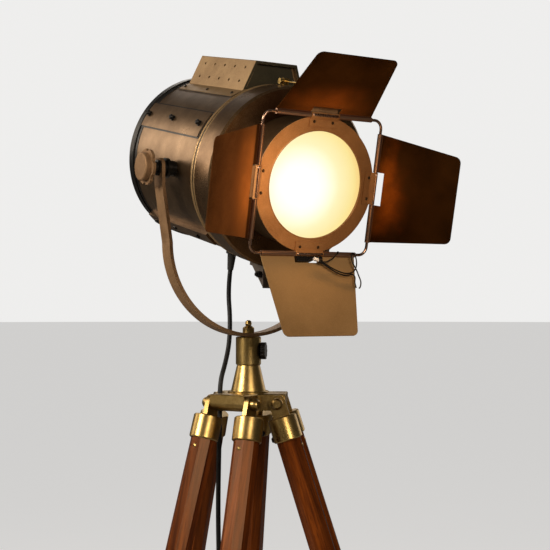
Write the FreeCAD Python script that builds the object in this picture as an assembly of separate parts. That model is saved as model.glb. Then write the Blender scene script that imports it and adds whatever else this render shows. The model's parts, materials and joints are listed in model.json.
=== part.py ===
import FreeCAD, Part
import math
import os

from FreeCAD import Placement, Rotation, Vector

# Tripod spotlight floor lamp. Millimetres. The origin is on the floor under the column axis,
# +Z is up, and the lamp faces -Y, tipped down by HEAD_TILT. Azimuths are counted from -Y
# towards +X.

# ---------------------------------------------------------------- driving dimensions
PIVOT_HEIGHT = 1360.0      # tilt axis above the floor
PIVOT_LOW = 7.0            # tilt axis below the lamp's own axis
HEAD_TILT = 12.4           # degrees the lamp looks down at rest
SEAT = 0.3                 # gap between curved pieces that only rest against each other
RUNNING = 0.3              # radial gap in a pivot
SHEET = 1.5                # sheet metal of the lamp body

# lamp body: AHEAD values are distances in front of the tilt axis, along the lamp's own axis
DRUM_RADIUS = 122.0
DRUM_REAR = -150.5
DRUM_FRONT = 75.0
RIM_WIDTH = 12.0
RIM_THICK = 2.5
RIM_LIP = 4.0
CAP_DOME = 11.0
CAP_STEP = 34.0
BEAD_RADIUS = 3.0
BEAD_PITCH = 8.0
BEAD_BAND = 1.5
BELL_RADIUS = 127.0
BELL_LENGTH = 44.0
BELL_LIP = 5.0
BELL_EDGE = 3.0
NOSE_RADIUS = 88.0
NOSE_LENGTH = 64.0
NOSE_FLANGE = 6.0
LENS_RING_RADIUS = 92.0
LENS_RING_THICK = 2.0
LENS_OPENING = 72.0
LENS_EDGE = 7.5
LENS_CROWN = 7.0
LENS_LEDGE = 6.0

# barn-door frame and leaves
FRAME_SPAN = 186.0         # wire centre to wire centre
FRAME_CORNER = 12.0
WIRE_RADIUS = 2.0
LEAF_SHEET = 1.2
LEAF_HINGE_WIDTH = 150.0
LEAF_CORNER = 9.0
LEAF_NOTCH_DEPTH = 12.0
CLIP_WIDTH = 44.0
CLIP_SHEET = 1.2
CLIP_INNER = 77.0          # where the strap starts, from the lens centre
RIVET_SPACING = 29.0
RIVET_RADIUS = 2.2
RIVET_HEIGHT = 1.1
RIVET_FROM_CENTRE = 84.0
# name: (side of the frame in degrees from the right, opened forward in degrees, length, tip width)
LEAVES = {
    "leaf_right": (0.0, 63.0, 122.0, 115.0),
    "leaf_top": (90.0, 41.0, 104.0, 122.0),
    "leaf_left": (180.0, 35.0, 125.0, 115.0),
    "leaf_bottom": (270.0, 30.0, 115.0, 116.0),
}

# vent box on top
VENT_REAR = -121.0
VENT_LENGTH = 168.0
VENT_BASE = 100.0
VENT_TOP = 67.0
VENT_BASE_HEIGHT = 114.0   # above the lamp's axis
VENT_TOP_HEIGHT = 156.0
VENT_RECESS = 7.0
VENT_LIP = 4.0
VENT_HOLE_RADIUS = 2.1
VENT_HOLES = 5
VENT_HOLE_PITCH = 31.0
VENT_HOLE_ROWS = (0.27, 0.74)
FLANGE_OUTER_ANGLE = 123.0
FLANGE_INNER_ANGLE = 112.0
FLANGE_SHEET = 1.5

# plates, rails and screws on the drum (angles from the right-hand side, about the lamp's axis)
SIDE_PLATE_ANGLES = (141.0, 159.5)
SIDE_PLATE_SPAN = (-138.5, 50.0)
SIDE_PLATE_THICK = 1.6
RAIL_ANGLES = (-134.0, -124.0)
RAIL_SPAN = (-138.5, 55.0)
RAIL_THICK = 6.5
SCREW_RADIUS = 3.6
SCREW_HEIGHT = 5.5
SMALL_SCREW_RADIUS = 2.4
SMALL_SCREW_HEIGHT = 1.8

# catch on top of the bell, latch bracket under it
CATCH_AHEAD = 80.0
CATCH_SIDE = -6.0          # middle of the catch, to the right
CATCH_BLOCK = 9.0
CATCH_ROD_RADIUS = 1.3
CATCH_ROD_LENGTH = 40.0
CATCH_KNOB_RADIUS = 4.2
LATCH_AHEAD = 79.0
LATCH_SIDE = -17.0         # middle of the bracket, to the left of the lamp
LATCH_WIDTH = 20.0
LATCH_LENGTH = 38.0
LATCH_DROP = 27.0
LATCH_SHEET = 2.0
LATCH_SCREW_RADIUS = 4.5

# lamp inside
HOLDER_RADIUS = 21.0
HOLDER_LENGTH = 52.0
HOLDER_REAR = -92.0
BULB_RADIUS = 47.5
BULB_NECK = 13.0
REFLECTOR_RADIUS = 100.0
REFLECTOR_DEPTH = 42.0
REFLECTOR_THICK = 1.5

# yoke
YOKE_ARC_RADIUS = 134.0    # outer face of the round bottom
YOKE_DROP = 239.5          # tilt axis down to the underside
YOKE_BAR_WIDTH = 25.0
YOKE_BAR_THICK = 5.0
YOKE_PAD_HALF = 146.0      # outer face of the upright pads at the pivot
YOKE_PAD_LOW = 25.0
PIVOT_STUD_RADIUS = 4.0
PIVOT_BOSS_RADIUS = 11.0
KNOB_DISC_RADIUS = 20.0
KNOB_DISC_THICK = 9.0
KNOB_WING_RADIUS = 25.5
KNOB_WING_THICK = 4.0
KNOB_LOBES = 6
KNOB_SPACER_RADIUS = 8.0
KNOB_SPACER_LENGTH = 15.0

# column
FINIAL_RADIUS = 8.5
FINIAL_HEIGHT = 19.0
SOCKET_RADIUS = 18.5
SOCKET_LENGTH = 41.5
SPIGOT_RADIUS = 12.0
SPIGOT_LENGTH = 32.0
CONE_TOP_RADIUS = 17.0
CONE_BASE_RADIUS = 25.5
CONE_HEIGHT = 37.0
CONE_FLANGE_RADIUS = 30.0
CONE_FLANGE_THICK = 3.0
LOCK_KNOB_RADIUS = 12.5
LOCK_KNOB_THICK = 6.5
LOCK_STEM_RADIUS = 3.5
LOCK_AZIMUTH = 50.0

# tripod
LEG_AZIMUTHS = {"right": 55.0, "front": -63.0, "rear": 170.0}
LEG_SPLAY = 17.5           # degrees from upright at rest
STAVE_SPREAD = 3.15        # degrees each stave leans out of its pair's middle
STAVE_OFFSET = 34.0        # pair's middle to stave axis, at the hinge
STAVE_FLATS = 34.0         # octagon across flats
HUB_CORE_RADIUS = 36.0
HUB_THICK = 24.0
HUB_HINGE_REACH = 45.0
HUB_HINGE_DROP = 13.0      # top of the hub to the hinge bolt
HUB_EYE_RADIUS = 11.0
KNUCKLE_WIDTH = 59.0
EAR_THICK = 7.0
EAR_RADIUS = 12.0
FERRULE_RADIUS = 21.0
FERRULE_DROP = 20.0        # hinge bolt to the top of the ferrule
FERRULE_LENGTH = 34.0
FERRULE_CAP = 4.0
FERRULE_CHAMFER = 1.5
BOLT_RADIUS = 4.0
NUT_RADIUS = 8.5
NUT_BASE = 3.5
CLAMP_START = 520.0        # along the leg, from the hinge
CLAMP_LENGTH = 55.0
CLAMP_WEB_THICK = 16.0
CLAMP_SLEEVE_WALL = 5.0
CLAMP_BOSS_RADIUS = 9.0
CLAMP_BOSS_LENGTH = 8.0
CLAMP_KNOB_RADIUS = 13.0
CLAMP_KNOB_THICK = 9.0
CLAMP_STEM_RADIUS = 3.2
EXTENSION_WIDTH = 30.0
EXTENSION_DEPTH = 24.0
EXTENSION_CHAMFER = 3.0
EXTENSION_START = 470.0
EXTENSION_FIT = 0.4
FOOT_LENGTH = 36.0
FOOT_WALL = 4.0
FOOT_BORE_GAP = 0.1

# cord
CORD_DIAMETER = 7.0
GLAND_AHEAD = -24.0
GLAND_RADIUS = 9.0
GLAND_NUT_LENGTH = 9.0
GLAND_LENGTH = 34.0
CORD_HUB_RADIUS = 42.0
CORD_AZIMUTH = -126.0
COIL_RADIUS = 38.5
COIL_TURNS = 3             # in each of its two layers
COIL_GAP = 0.9
COIL_RISE = 8.5            # from the floor layer up to the second layer
COIL_TUCK = 1.2            # how far the climbing half turn draws in
COIL_REACH = 150.0         # column axis to the coil's middle, along the cord's direction
PLUG_RELIEF = 45.0
PLUG_RELIEF_END = 5.2
PLUG_LENGTH = 34.0
PLUG_WIDTH = 26.0
PLUG_BLADE_LENGTH = 17.0
PLUG_BLADE_WIDTH = 6.3
PLUG_BLADE_THICK = 1.5
PLUG_BLADE_SPACING = 12.7

# ---------------------------------------------------------------- places worked out from them
X_AXIS = Vector(1, 0, 0)
Y_AXIS = Vector(0, 1, 0)
Z_AXIS = Vector(0, 0, 1)
ORIGIN = Vector(0, 0, 0)

RIM_REAR = DRUM_REAR - SHEET
BELL_FRONT = DRUM_FRONT + BELL_LENGTH
NOSE_FRONT = BELL_FRONT + NOSE_LENGTH
LENS_RING_FRONT = NOSE_FRONT + LENS_RING_THICK
WIRE_AHEAD = LENS_RING_FRONT + SEAT + WIRE_RADIUS
KNUCKLE_BORE = WIRE_RADIUS + RUNNING
KNUCKLE_OUTER = KNUCKLE_BORE + LEAF_SHEET
YOKE_BOTTOM = PIVOT_HEIGHT - YOKE_DROP
YOKE_TOP_OF_BAR = YOKE_BOTTOM + YOKE_BAR_THICK
SOCKET_BOTTOM = YOKE_BOTTOM - SOCKET_LENGTH
CONE_TOP = SOCKET_BOTTOM - RUNNING
CONE_BASE = CONE_TOP - CONE_HEIGHT
HUB_TOP = CONE_BASE - CONE_FLANGE_THICK
HINGE_HEIGHT = HUB_TOP - HUB_HINGE_DROP
LEG_LENGTH = HINGE_HEIGHT / math.cos(math.radians(LEG_SPLAY))
CORD_RADIUS = CORD_DIAMETER / 2.0

TILTED = Placement(Vector(0, 0, PIVOT_HEIGHT), Rotation(X_AXIS, HEAD_TILT))
HEAD = TILTED.multiply(Placement(Vector(0, 0, PIVOT_LOW), Rotation()))


# ---------------------------------------------------------------- helpers
def heading(azimuth):
    """Level direction at an azimuth counted from -Y towards +X."""
    angle = math.radians(azimuth)
    return Vector(math.sin(angle), -math.cos(angle), 0)


def box(low, high):
    size = high - low
    return Part.makeBox(size.x, size.y, size.z, low)


def cylinder(radius, base, axis, length):
    return Part.makeCylinder(radius, length, base, axis)


def fuse(shapes):
    whole = shapes[0]
    for shape in shapes[1:]:
        whole = whole.fuse(shape)
    return whole.removeSplitter()


def face_of(points):
    return Part.Face(Part.makePolygon(points + [points[0]]))


def outline(*segments):
    """Flat face from consecutive segments: two points make a line, three points an arc."""
    edges = []
    for points in segments:
        edges.append(Part.makeLine(*points) if len(points) == 2 else Part.Arc(*points).toShape())
    return Part.Face(Part.Wire(edges))


def chain(points):
    """Consecutive line segments through the points."""
    return [(points[index], points[index + 1]) for index in range(len(points) - 1)]


def spin(ring):
    """Turns a ring of (radius, ahead) points about the lamp's axis."""
    face = face_of([Vector(radius, -ahead, 0) for radius, ahead in ring])
    return face.revolve(ORIGIN, Y_AXIS, 360)


def turned(ring):
    """Turns a ring of (radius, height) points about the column axis."""
    face = face_of([Vector(radius, 0, height) for radius, height in ring])
    return face.revolve(ORIGIN, Z_AXIS, 360)


def drum_point(radius, angle, ahead):
    turn = math.radians(angle)
    return Vector(radius * math.cos(turn), -ahead, radius * math.sin(turn))


def drum_patch(inner, outer, angles, span):
    """A curved plate on the drum between two angles, over a span along the lamp's axis."""
    low, high = angles
    ring = [(inner, span[0]), (outer, span[0]), (outer, span[1]), (inner, span[1])]
    face = face_of([drum_point(radius, high, ahead) for radius, ahead in ring])
    return face.revolve(ORIGIN, Y_AXIS, high - low)


def drum_screw(angle, ahead, seat_radius, radius, height):
    out = drum_point(1.0, angle, 0.0)
    return cylinder(radius, drum_point(seat_radius, angle, ahead), out, height)


def both_sides(shape):
    return [shape, shape.mirror(ORIGIN, X_AXIS)]


def group(shapes):
    return Part.makeCompound(shapes)


def placed_at(place, shape):
    moved = shape.copy()
    moved.Placement = place.multiply(moved.Placement)
    return moved


def knurled(radius, flute, flutes, base, axis, side, length):
    """A round knob with scalloped flutes around its edge."""
    knob = cylinder(radius, base, axis, length)
    for index in range(flutes):
        turn = Rotation(axis, 360.0 * index / flutes)
        centre = base + turn.multVec(side) * (radius + 0.45 * flute)
        knob = knob.cut(cylinder(flute, centre, axis, length))
    return knob


# ---------------------------------------------------------------- lamp body
def drum_shell():
    inner = DRUM_RADIUS - SHEET
    shell = spin([(inner, DRUM_REAR), (DRUM_RADIUS, DRUM_REAR), (DRUM_RADIUS, DRUM_FRONT), (inner, DRUM_FRONT)])
    slot_half = VENT_TOP / 3.0
    slot_rear = VENT_REAR + VENT_RECESS * 3
    slot_front = VENT_REAR + VENT_LENGTH - VENT_RECESS * 3
    slot = box(Vector(-slot_half, -slot_front, 0), Vector(slot_half, -slot_rear, VENT_BASE_HEIGHT * 1.2))
    stud = cylinder(PIVOT_STUD_RADIUS + RUNNING, Vector(-BELL_RADIUS, 0, -PIVOT_LOW), X_AXIS, 2 * BELL_RADIUS)
    cord = cylinder(CORD_RADIUS + SEAT, Vector(0, -GLAND_AHEAD, -BELL_RADIUS), Z_AXIS, BELL_RADIUS)
    return shell.cut(slot).cut(stud).cut(cord)


def rear_rim():
    outer = DRUM_RADIUS + RIM_THICK
    lip = DRUM_RADIUS - RIM_LIP
    edge = RIM_THICK / 2.0
    return spin([
        (DRUM_RADIUS, DRUM_REAR + RIM_WIDTH), (outer - edge / 2, DRUM_REAR + RIM_WIDTH),
        (outer, DRUM_REAR + RIM_WIDTH - edge), (outer, RIM_REAR), (outer - edge, RIM_REAR - edge),
        (lip, RIM_REAR - edge), (lip, RIM_REAR), (DRUM_RADIUS, RIM_REAR),
    ])


def rear_cap():
    """Spun cover: a flat edge against the drum's end, a step and a shallow domed middle."""
    step = DRUM_RADIUS - CAP_STEP
    back = DRUM_REAR - CAP_DOME
    crown = back - CAP_DOME / 3.0
    flat = step * 0.6
    return spin([
        (0, crown), (flat, crown), (step - SHEET, back), (step + SHEET, RIM_REAR), (DRUM_RADIUS, RIM_REAR),
        (DRUM_RADIUS, DRUM_REAR), (step - SHEET, DRUM_REAR), (step - 2 * SHEET, back + SHEET),
        (flat - SHEET, crown + SHEET), (0, crown + SHEET),
    ])


def bead_ring():
    """Two half-round beads on a narrow band round the front of the drum."""
    band = DRUM_RADIUS + BEAD_BAND
    front = DRUM_FRONT
    rear = DRUM_FRONT - 2 * BEAD_PITCH
    ring = spin([(DRUM_RADIUS, rear), (band, rear), (band, front), (DRUM_RADIUS, front)])
    for index in range(2):
        ahead = rear + (index + 0.5) * BEAD_PITCH
        ring = ring.fuse(Part.makeTorus(band, BEAD_RADIUS, Vector(0, -ahead, 0), Y_AXIS))
    bore = cylinder(DRUM_RADIUS, Vector(0, -DRUM_FRONT, 0), Y_AXIS, 3 * BEAD_PITCH)
    return ring.cut(bore).removeSplitter()


def front_bell():
    """Wider front shell with a flat face round the nose."""
    inner = BELL_RADIUS - SHEET
    back_lip = DRUM_RADIUS - BELL_LIP
    hole = NOSE_RADIUS + SEAT / 2
    bell = spin([
        (back_lip, DRUM_FRONT), (BELL_RADIUS, DRUM_FRONT), (BELL_RADIUS, BELL_FRONT - BELL_EDGE),
        (BELL_RADIUS - BELL_EDGE, BELL_FRONT), (hole, BELL_FRONT), (hole, BELL_FRONT - SHEET),
        (inner - BELL_EDGE, BELL_FRONT - SHEET), (inner, BELL_FRONT - SHEET - BELL_EDGE),
        (inner, DRUM_FRONT + SHEET), (back_lip, DRUM_FRONT + SHEET),
    ])
    return bell


def front_nose():
    """Tube that carries the lens, with a flange behind the bell's face and a ledge for the glass."""
    inner = NOSE_RADIUS - SHEET
    back = BELL_FRONT - SHEET
    ledge = NOSE_FRONT - LENS_EDGE - SEAT
    return spin([
        (NOSE_RADIUS, back), (NOSE_RADIUS, NOSE_FRONT), (inner, NOSE_FRONT), (inner, ledge),
        (inner - LENS_LEDGE, ledge), (inner - LENS_LEDGE, ledge - SHEET), (inner, ledge - SHEET),
        (inner, back - SHEET), (NOSE_RADIUS + NOSE_FLANGE, back - SHEET), (NOSE_RADIUS + NOSE_FLANGE, back),
    ])


def lens_ring():
    bead = LENS_RING_THICK / 2
    return spin([
        (LENS_OPENING, NOSE_FRONT), (LENS_RING_RADIUS, NOSE_FRONT), (LENS_RING_RADIUS, LENS_RING_FRONT),
        (LENS_OPENING + 2 * bead, LENS_RING_FRONT), (LENS_OPENING + bead, LENS_RING_FRONT + bead / 2),
        (LENS_OPENING, LENS_RING_FRONT),
    ])


def lens_glass():
    """Crowned glass, held by its rim between the ledge and the ring."""
    rim = NOSE_RADIUS - SHEET - SEAT
    back = NOSE_FRONT - LENS_EDGE
    front = NOSE_FRONT - SEAT
    foot = LENS_OPENING - 1.0
    crown = front - 2.0 + LENS_CROWN
    start = Vector(foot, -(front - 2.0), 0)
    top = Vector(0, -crown, 0)
    sphere = (foot ** 2 + LENS_CROWN ** 2) / (2 * LENS_CROWN)
    half = foot / 2.0
    sag = math.sqrt(sphere ** 2 - half ** 2) - (sphere - LENS_CROWN)
    middle = Vector(half, -(front - 2.0 + sag), 0)
    points = [top, Vector(0, -back, 0), Vector(rim, -back, 0), Vector(rim, -front, 0),
              Vector(foot + 2.0, -front, 0), start]
    face = outline(*chain(points), (start, middle, top))
    return face.revolve(ORIGIN, Y_AXIS, 360)


def on_frame(side):
    """Places a shape built along the right-hand wire (X outward, Z along the wire) on a side."""
    return Placement(Vector(0, -WIRE_AHEAD, 0), Rotation(Y_AXIS, -side)).multiply(
        Placement(Vector(FRAME_SPAN / 2, 0, 0), Rotation()))


def wire_frame():
    half = FRAME_SPAN / 2
    flat = half - FRAME_CORNER
    reach = FRAME_CORNER / math.sqrt(2)
    edges = []
    for quarter in range(4):
        turn = Placement(Vector(0, -WIRE_AHEAD, 0), Rotation(Y_AXIS, -90.0 * quarter))
        side = [Vector(half, 0, -flat), Vector(half, 0, flat)]
        corner = [Vector(half, 0, flat), Vector(flat + reach, 0, flat + reach), Vector(flat, 0, half)]
        edges.append(Part.makeLine(*[turn.multVec(point) for point in side]))
        edges.append(Part.Arc(*[turn.multVec(point) for point in corner]).toShape())
    path = Part.Wire(edges)
    start = Vector(half, -WIRE_AHEAD, -flat)
    ring = Part.Wire(Part.makeCircle(WIRE_RADIUS, start, Z_AXIS))
    return path.makePipeShell([ring], True, False)


def wire_clips():
    """Strap at the middle of each side: riveted to the lens ring and curled round the wire."""
    straps = []
    inner = WIRE_RADIUS + SEAT
    outer = inner + CLIP_SHEET
    back = -(WIRE_RADIUS + SEAT)
    ring_plate = cylinder(LENS_RING_RADIUS + SEAT, Vector(-FRAME_SPAN / 2, -back, 0), Y_AXIS, LENS_RING_THICK * 2)
    for side in (0.0, 90.0, 180.0, 270.0):
        low = Vector(0, 0, -CLIP_WIDTH / 2)
        curl = cylinder(outer, low, Z_AXIS, CLIP_WIDTH)
        plate = box(Vector(CLIP_INNER - FRAME_SPAN / 2, -back - CLIP_SHEET, -CLIP_WIDTH / 2),
                    Vector(0, -back, CLIP_WIDTH / 2))
        ramp = Part.Face(Part.makePolygon([
            Vector(-outer * 1.9, -back, low.z), Vector(-outer * 1.9, -back - CLIP_SHEET, low.z),
            Vector(-outer * 0.5, -outer * 0.87, low.z), Vector(0, -back, low.z),
            Vector(-outer * 1.9, -back, low.z)])).extrude(Vector(0, 0, CLIP_WIDTH))
        strap = fuse([curl, plate, ramp])
        strap = strap.cut(cylinder(inner, low, Z_AXIS, CLIP_WIDTH)).cut(ring_plate)
        strap = max(strap.Solids, key=lambda solid: solid.Volume)
        strap.Placement = on_frame(side)
        straps.append(strap)
    return group(straps)


def clip_rivets():
    rivets = []
    seat = SEAT + WIRE_RADIUS - CLIP_SHEET
    for side in (0.0, 90.0, 180.0, 270.0):
        for along in (-RIVET_SPACING / 2, RIVET_SPACING / 2):
            base = Vector(RIVET_FROM_CENTRE - FRAME_SPAN / 2, seat, along)
            head = Part.makeCone(RIVET_RADIUS, RIVET_RADIUS * 0.55, RIVET_HEIGHT, base, Vector(0, -1, 0))
            head.Placement = on_frame(side)
            rivets.append(head)
    return group(rivets)


def leaf(name):
    """Tapered sheet with a rolled edge round the wire, notched at the strap."""
    side, opened, length, tip_width = LEAVES[name]
    half = LEAF_HINGE_WIDTH / 2
    tip = tip_width / 2
    root = KNUCKLE_BORE
    slope = (half - tip) / length
    near = half - slope * root
    corners = [Vector(root, 0, -near), Vector(length, 0, -tip), Vector(length, 0, tip), Vector(root, 0, near)]
    sheet = face_of(corners).extrude(Vector(0, LEAF_SHEET, 0))
    rounded = [edge for edge in sheet.Edges
               if abs(edge.tangentAt(edge.FirstParameter).y) > 0.99 and edge.CenterOfMass.x > length / 2]
    sheet = sheet.makeFillet(LEAF_CORNER, rounded)
    sheet.translate(Vector(0, KNUCKLE_BORE, 0))
    roll = cylinder(KNUCKLE_OUTER, Vector(0, 0, -half), Z_AXIS, LEAF_HINGE_WIDTH)
    lead = box(Vector(0, KNUCKLE_BORE, -near), Vector(root + LEAF_SHEET, KNUCKLE_OUTER, near))
    notch = box(Vector(-KNUCKLE_OUTER, -KNUCKLE_OUTER, -CLIP_WIDTH / 2 - 2 * SEAT),
                Vector(LEAF_NOTCH_DEPTH, KNUCKLE_OUTER, CLIP_WIDTH / 2 + 2 * SEAT))
    bore = cylinder(KNUCKLE_BORE, Vector(0, 0, -half), Z_AXIS, LEAF_HINGE_WIDTH)
    whole = fuse([sheet, lead, roll]).cut(notch).cut(bore)
    opening = Placement(ORIGIN, Rotation(Z_AXIS, -opened))
    whole.Placement = on_frame(side).multiply(opening)
    return whole


# ---------------------------------------------------------------- vent and trim
def vent_side_direction():
    run = (VENT_BASE - VENT_TOP) / 2
    rise = VENT_TOP_HEIGHT - VENT_BASE_HEIGHT
    return run / rise


def vent_prism(inset, rear, front, top):
    """Trapezium prism down to inside the drum, drawn in by an inset from the outer walls."""
    slope = vent_side_direction()
    shift = inset * math.sqrt(1 + slope ** 2)
    low = VENT_BASE_HEIGHT * 0.8
    half_low = VENT_BASE / 2 + slope * (VENT_BASE_HEIGHT - low) - shift
    half_top = VENT_BASE / 2 - slope * (top - VENT_BASE_HEIGHT) - shift
    face = face_of([Vector(-half_low, -rear, low), Vector(half_low, -rear, low),
                    Vector(half_top, -rear, top), Vector(-half_top, -rear, top)])
    return face.extrude(Vector(0, rear - front, 0))


def vent_box():
    front = VENT_REAR + VENT_LENGTH
    drum = cylinder(DRUM_RADIUS, Vector(0, -DRUM_FRONT, 0), Y_AXIS, DRUM_FRONT - DRUM_REAR)
    body = vent_prism(0.0, VENT_REAR, front, VENT_TOP_HEIGHT)
    long_edges = [edge for edge in body.Edges
                  if edge.CenterOfMass.z > VENT_BASE_HEIGHT and edge.Length > VENT_LENGTH * 0.9]
    body = body.makeFillet(SHEET, long_edges)
    hollow = vent_prism(SHEET, VENT_REAR + SHEET, front - VENT_RECESS - SHEET, VENT_TOP_HEIGHT - SHEET)
    mouth = vent_prism(VENT_LIP, front - VENT_RECESS, front, VENT_TOP_HEIGHT - VENT_LIP)
    body = body.cut(hollow).cut(mouth)
    holes = []
    slope = vent_side_direction()
    middle = VENT_REAR + VENT_LENGTH / 2
    normal = Vector(1, 0, slope)
    for row in VENT_HOLE_ROWS:
        height = VENT_BASE_HEIGHT + row * (VENT_TOP_HEIGHT - VENT_BASE_HEIGHT)
        wall = VENT_BASE / 2 - slope * (height - VENT_BASE_HEIGHT)
        for index in range(VENT_HOLES):
            ahead = middle + (index - (VENT_HOLES - 1) / 2) * VENT_HOLE_PITCH
            start = Vector(wall - 3 * SHEET, -ahead, height - 3 * SHEET * slope)
            holes += both_sides(cylinder(VENT_HOLE_RADIUS, start, normal, 6 * SHEET))
    for hole in holes:
        body = body.cut(hole)
    flange = drum_patch(DRUM_RADIUS, DRUM_RADIUS + FLANGE_SHEET, (FLANGE_INNER_ANGLE, FLANGE_OUTER_ANGLE),
                        (VENT_REAR, front))
    flanges = both_sides(flange)
    return fuse([body] + flanges).cut(drum).removeSplitter()


def side_plates():
    outer = DRUM_RADIUS + SIDE_PLATE_THICK
    return group(both_sides(drum_patch(DRUM_RADIUS, outer, SIDE_PLATE_ANGLES, SIDE_PLATE_SPAN)))


def bottom_rails():
    outer = DRUM_RADIUS + RAIL_THICK
    return group(both_sides(drum_patch(DRUM_RADIUS, outer, RAIL_ANGLES, RAIL_SPAN)))


def body_screws():
    """Three raised screws on each side plate and rail, and small ones on the vent's flanges."""
    screws = []
    plate_angle = sum(SIDE_PLATE_ANGLES) / 2
    plate_low, plate_high = SIDE_PLATE_SPAN
    rail_low, rail_high = RAIL_SPAN
    rail_angle = sum(RAIL_ANGLES) / 2
    flange_angle = (FLANGE_INNER_ANGLE + FLANGE_OUTER_ANGLE * 2) / 3
    for share, rail_share in ((0.05, 0.07), (0.48, 0.41), (0.93, 0.80)):
        plate_ahead = plate_low + share * (plate_high - plate_low)
        rail_ahead = rail_low + rail_share * (rail_high - rail_low)
        vent_ahead = VENT_REAR + share * VENT_LENGTH
        seat = DRUM_RADIUS + SIDE_PLATE_THICK
        screws += both_sides(drum_screw(plate_angle, plate_ahead, seat, SCREW_RADIUS, SCREW_HEIGHT))
        seat = DRUM_RADIUS + RAIL_THICK
        screws += both_sides(drum_screw(rail_angle, rail_ahead, seat, SCREW_RADIUS, SCREW_HEIGHT / 2))
        seat = DRUM_RADIUS + FLANGE_SHEET
        screws += both_sides(drum_screw(flange_angle, vent_ahead, seat, SMALL_SCREW_RADIUS, SMALL_SCREW_HEIGHT))
    return group(screws)


def top_catch():
    """Small block on the bell with a cross knob and a thin rod that reaches forward."""
    block = box(Vector(-CATCH_BLOCK / 2, -CATCH_AHEAD - CATCH_BLOCK, 0),
                Vector(CATCH_BLOCK / 2, -CATCH_AHEAD, BELL_RADIUS + CATCH_BLOCK))
    rod_height = BELL_RADIUS + CATCH_BLOCK / 2
    rod = cylinder(CATCH_ROD_RADIUS, Vector(0, -CATCH_AHEAD, rod_height), Vector(0, -1, 0), CATCH_ROD_LENGTH)
    knob = cylinder(CATCH_KNOB_RADIUS, Vector(-CATCH_BLOCK, -CATCH_AHEAD - CATCH_BLOCK / 2, rod_height),
                    X_AXIS, CATCH_BLOCK)
    catch = fuse([block, rod, knob])
    catch.translate(Vector(CATCH_SIDE, 0, 0))
    return catch.cut(cylinder(BELL_RADIUS, ORIGIN, Vector(0, -1, 0), BELL_FRONT))


def latch_bracket():
    """Bent strap under the bell."""
    half = LATCH_WIDTH / 2
    front = -(LATCH_AHEAD + LATCH_LENGTH)
    under = -BELL_RADIUS
    seat = box(Vector(-half, front, under - LATCH_SHEET), Vector(half, -LATCH_AHEAD, under + BELL_RADIUS / 16))
    drop = face_of([Vector(0, front, under), Vector(0, front + LATCH_SHEET, under),
                    Vector(0, front + LATCH_SHEET - 6, under - LATCH_DROP),
                    Vector(0, front - 6, under - LATCH_DROP)])
    drop = drop.extrude(Vector(LATCH_WIDTH, 0, 0))
    drop.translate(Vector(-half, 0, 0))
    cheek = face_of([Vector(-half, -LATCH_AHEAD - 4, under), Vector(-half, front - 6, under - LATCH_DROP),
                     Vector(-half, front, under)]).extrude(Vector(LATCH_SHEET, 0, 0))
    bracket = fuse([seat, drop, cheek])
    bracket.translate(Vector(LATCH_SIDE, 0, 0))
    return bracket.cut(cylinder(BELL_RADIUS, Vector(0, -DRUM_FRONT, 0), Vector(0, -1, 0), BELL_LENGTH))


def latch_screw():
    centre = Vector(LATCH_SIDE - LATCH_WIDTH / 2, -(LATCH_AHEAD + LATCH_LENGTH - 4), -BELL_RADIUS - LATCH_DROP * 0.34)
    head = cylinder(LATCH_SCREW_RADIUS, centre - X_AXIS * 6, X_AXIS, 6)
    collar = cylinder(LATCH_SCREW_RADIUS * 0.6, centre - X_AXIS * 9, X_AXIS, 3)
    return fuse([head, collar])


# ---------------------------------------------------------------- lamp inside
def lamp_holder():
    collar = HOLDER_RADIUS + 4
    front = HOLDER_REAR + HOLDER_LENGTH
    return spin([
        (0, HOLDER_REAR), (HOLDER_RADIUS * 0.7, HOLDER_REAR), (HOLDER_RADIUS, HOLDER_REAR + 12),
        (HOLDER_RADIUS, front - 18), (collar, front - 18), (collar, front - 12), (HOLDER_RADIUS, front - 12),
        (HOLDER_RADIUS, front), (BULB_NECK + 2 * SEAT, front), (BULB_NECK + 2 * SEAT, front - 26), (0, front - 26),
    ])


def bulb():
    """Screw-base globe seated in the holder."""
    base = HOLDER_REAR + HOLDER_LENGTH - 26
    neck_end = base + 30
    centre = neck_end + BULB_RADIUS * 0.95
    globe = Part.makeSphere(BULB_RADIUS, Vector(0, -centre, 0))
    neck = cylinder(BULB_NECK, Vector(0, -base, 0), Vector(0, -1, 0), centre - base)
    return fuse([globe, neck])


def reflector():
    """Spherical dish behind the bulb, with the holder's neck through its middle."""
    hole = HOLDER_RADIUS + SEAT
    rear = HOLDER_REAR + HOLDER_LENGTH - 8
    edge = rear + REFLECTOR_DEPTH
    sphere = (REFLECTOR_RADIUS ** 2 + REFLECTOR_DEPTH ** 2) / (2 * REFLECTOR_DEPTH)

    def wall(offset):
        start = Vector(hole, -(rear - offset + sphere - math.sqrt(sphere ** 2 - hole ** 2)), 0)
        half = REFLECTOR_RADIUS * 0.6
        middle = Vector(half, -(rear - offset + sphere - math.sqrt(sphere ** 2 - half ** 2)), 0)
        end = Vector(REFLECTOR_RADIUS, -(edge - offset), 0)
        return start, middle, end

    front = wall(0.0)
    back = wall(REFLECTOR_THICK)
    face = outline(front, (front[2], back[2]), tuple(reversed(back)), (back[0], front[0]))
    return face.revolve(ORIGIN, Y_AXIS, 360)


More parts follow.
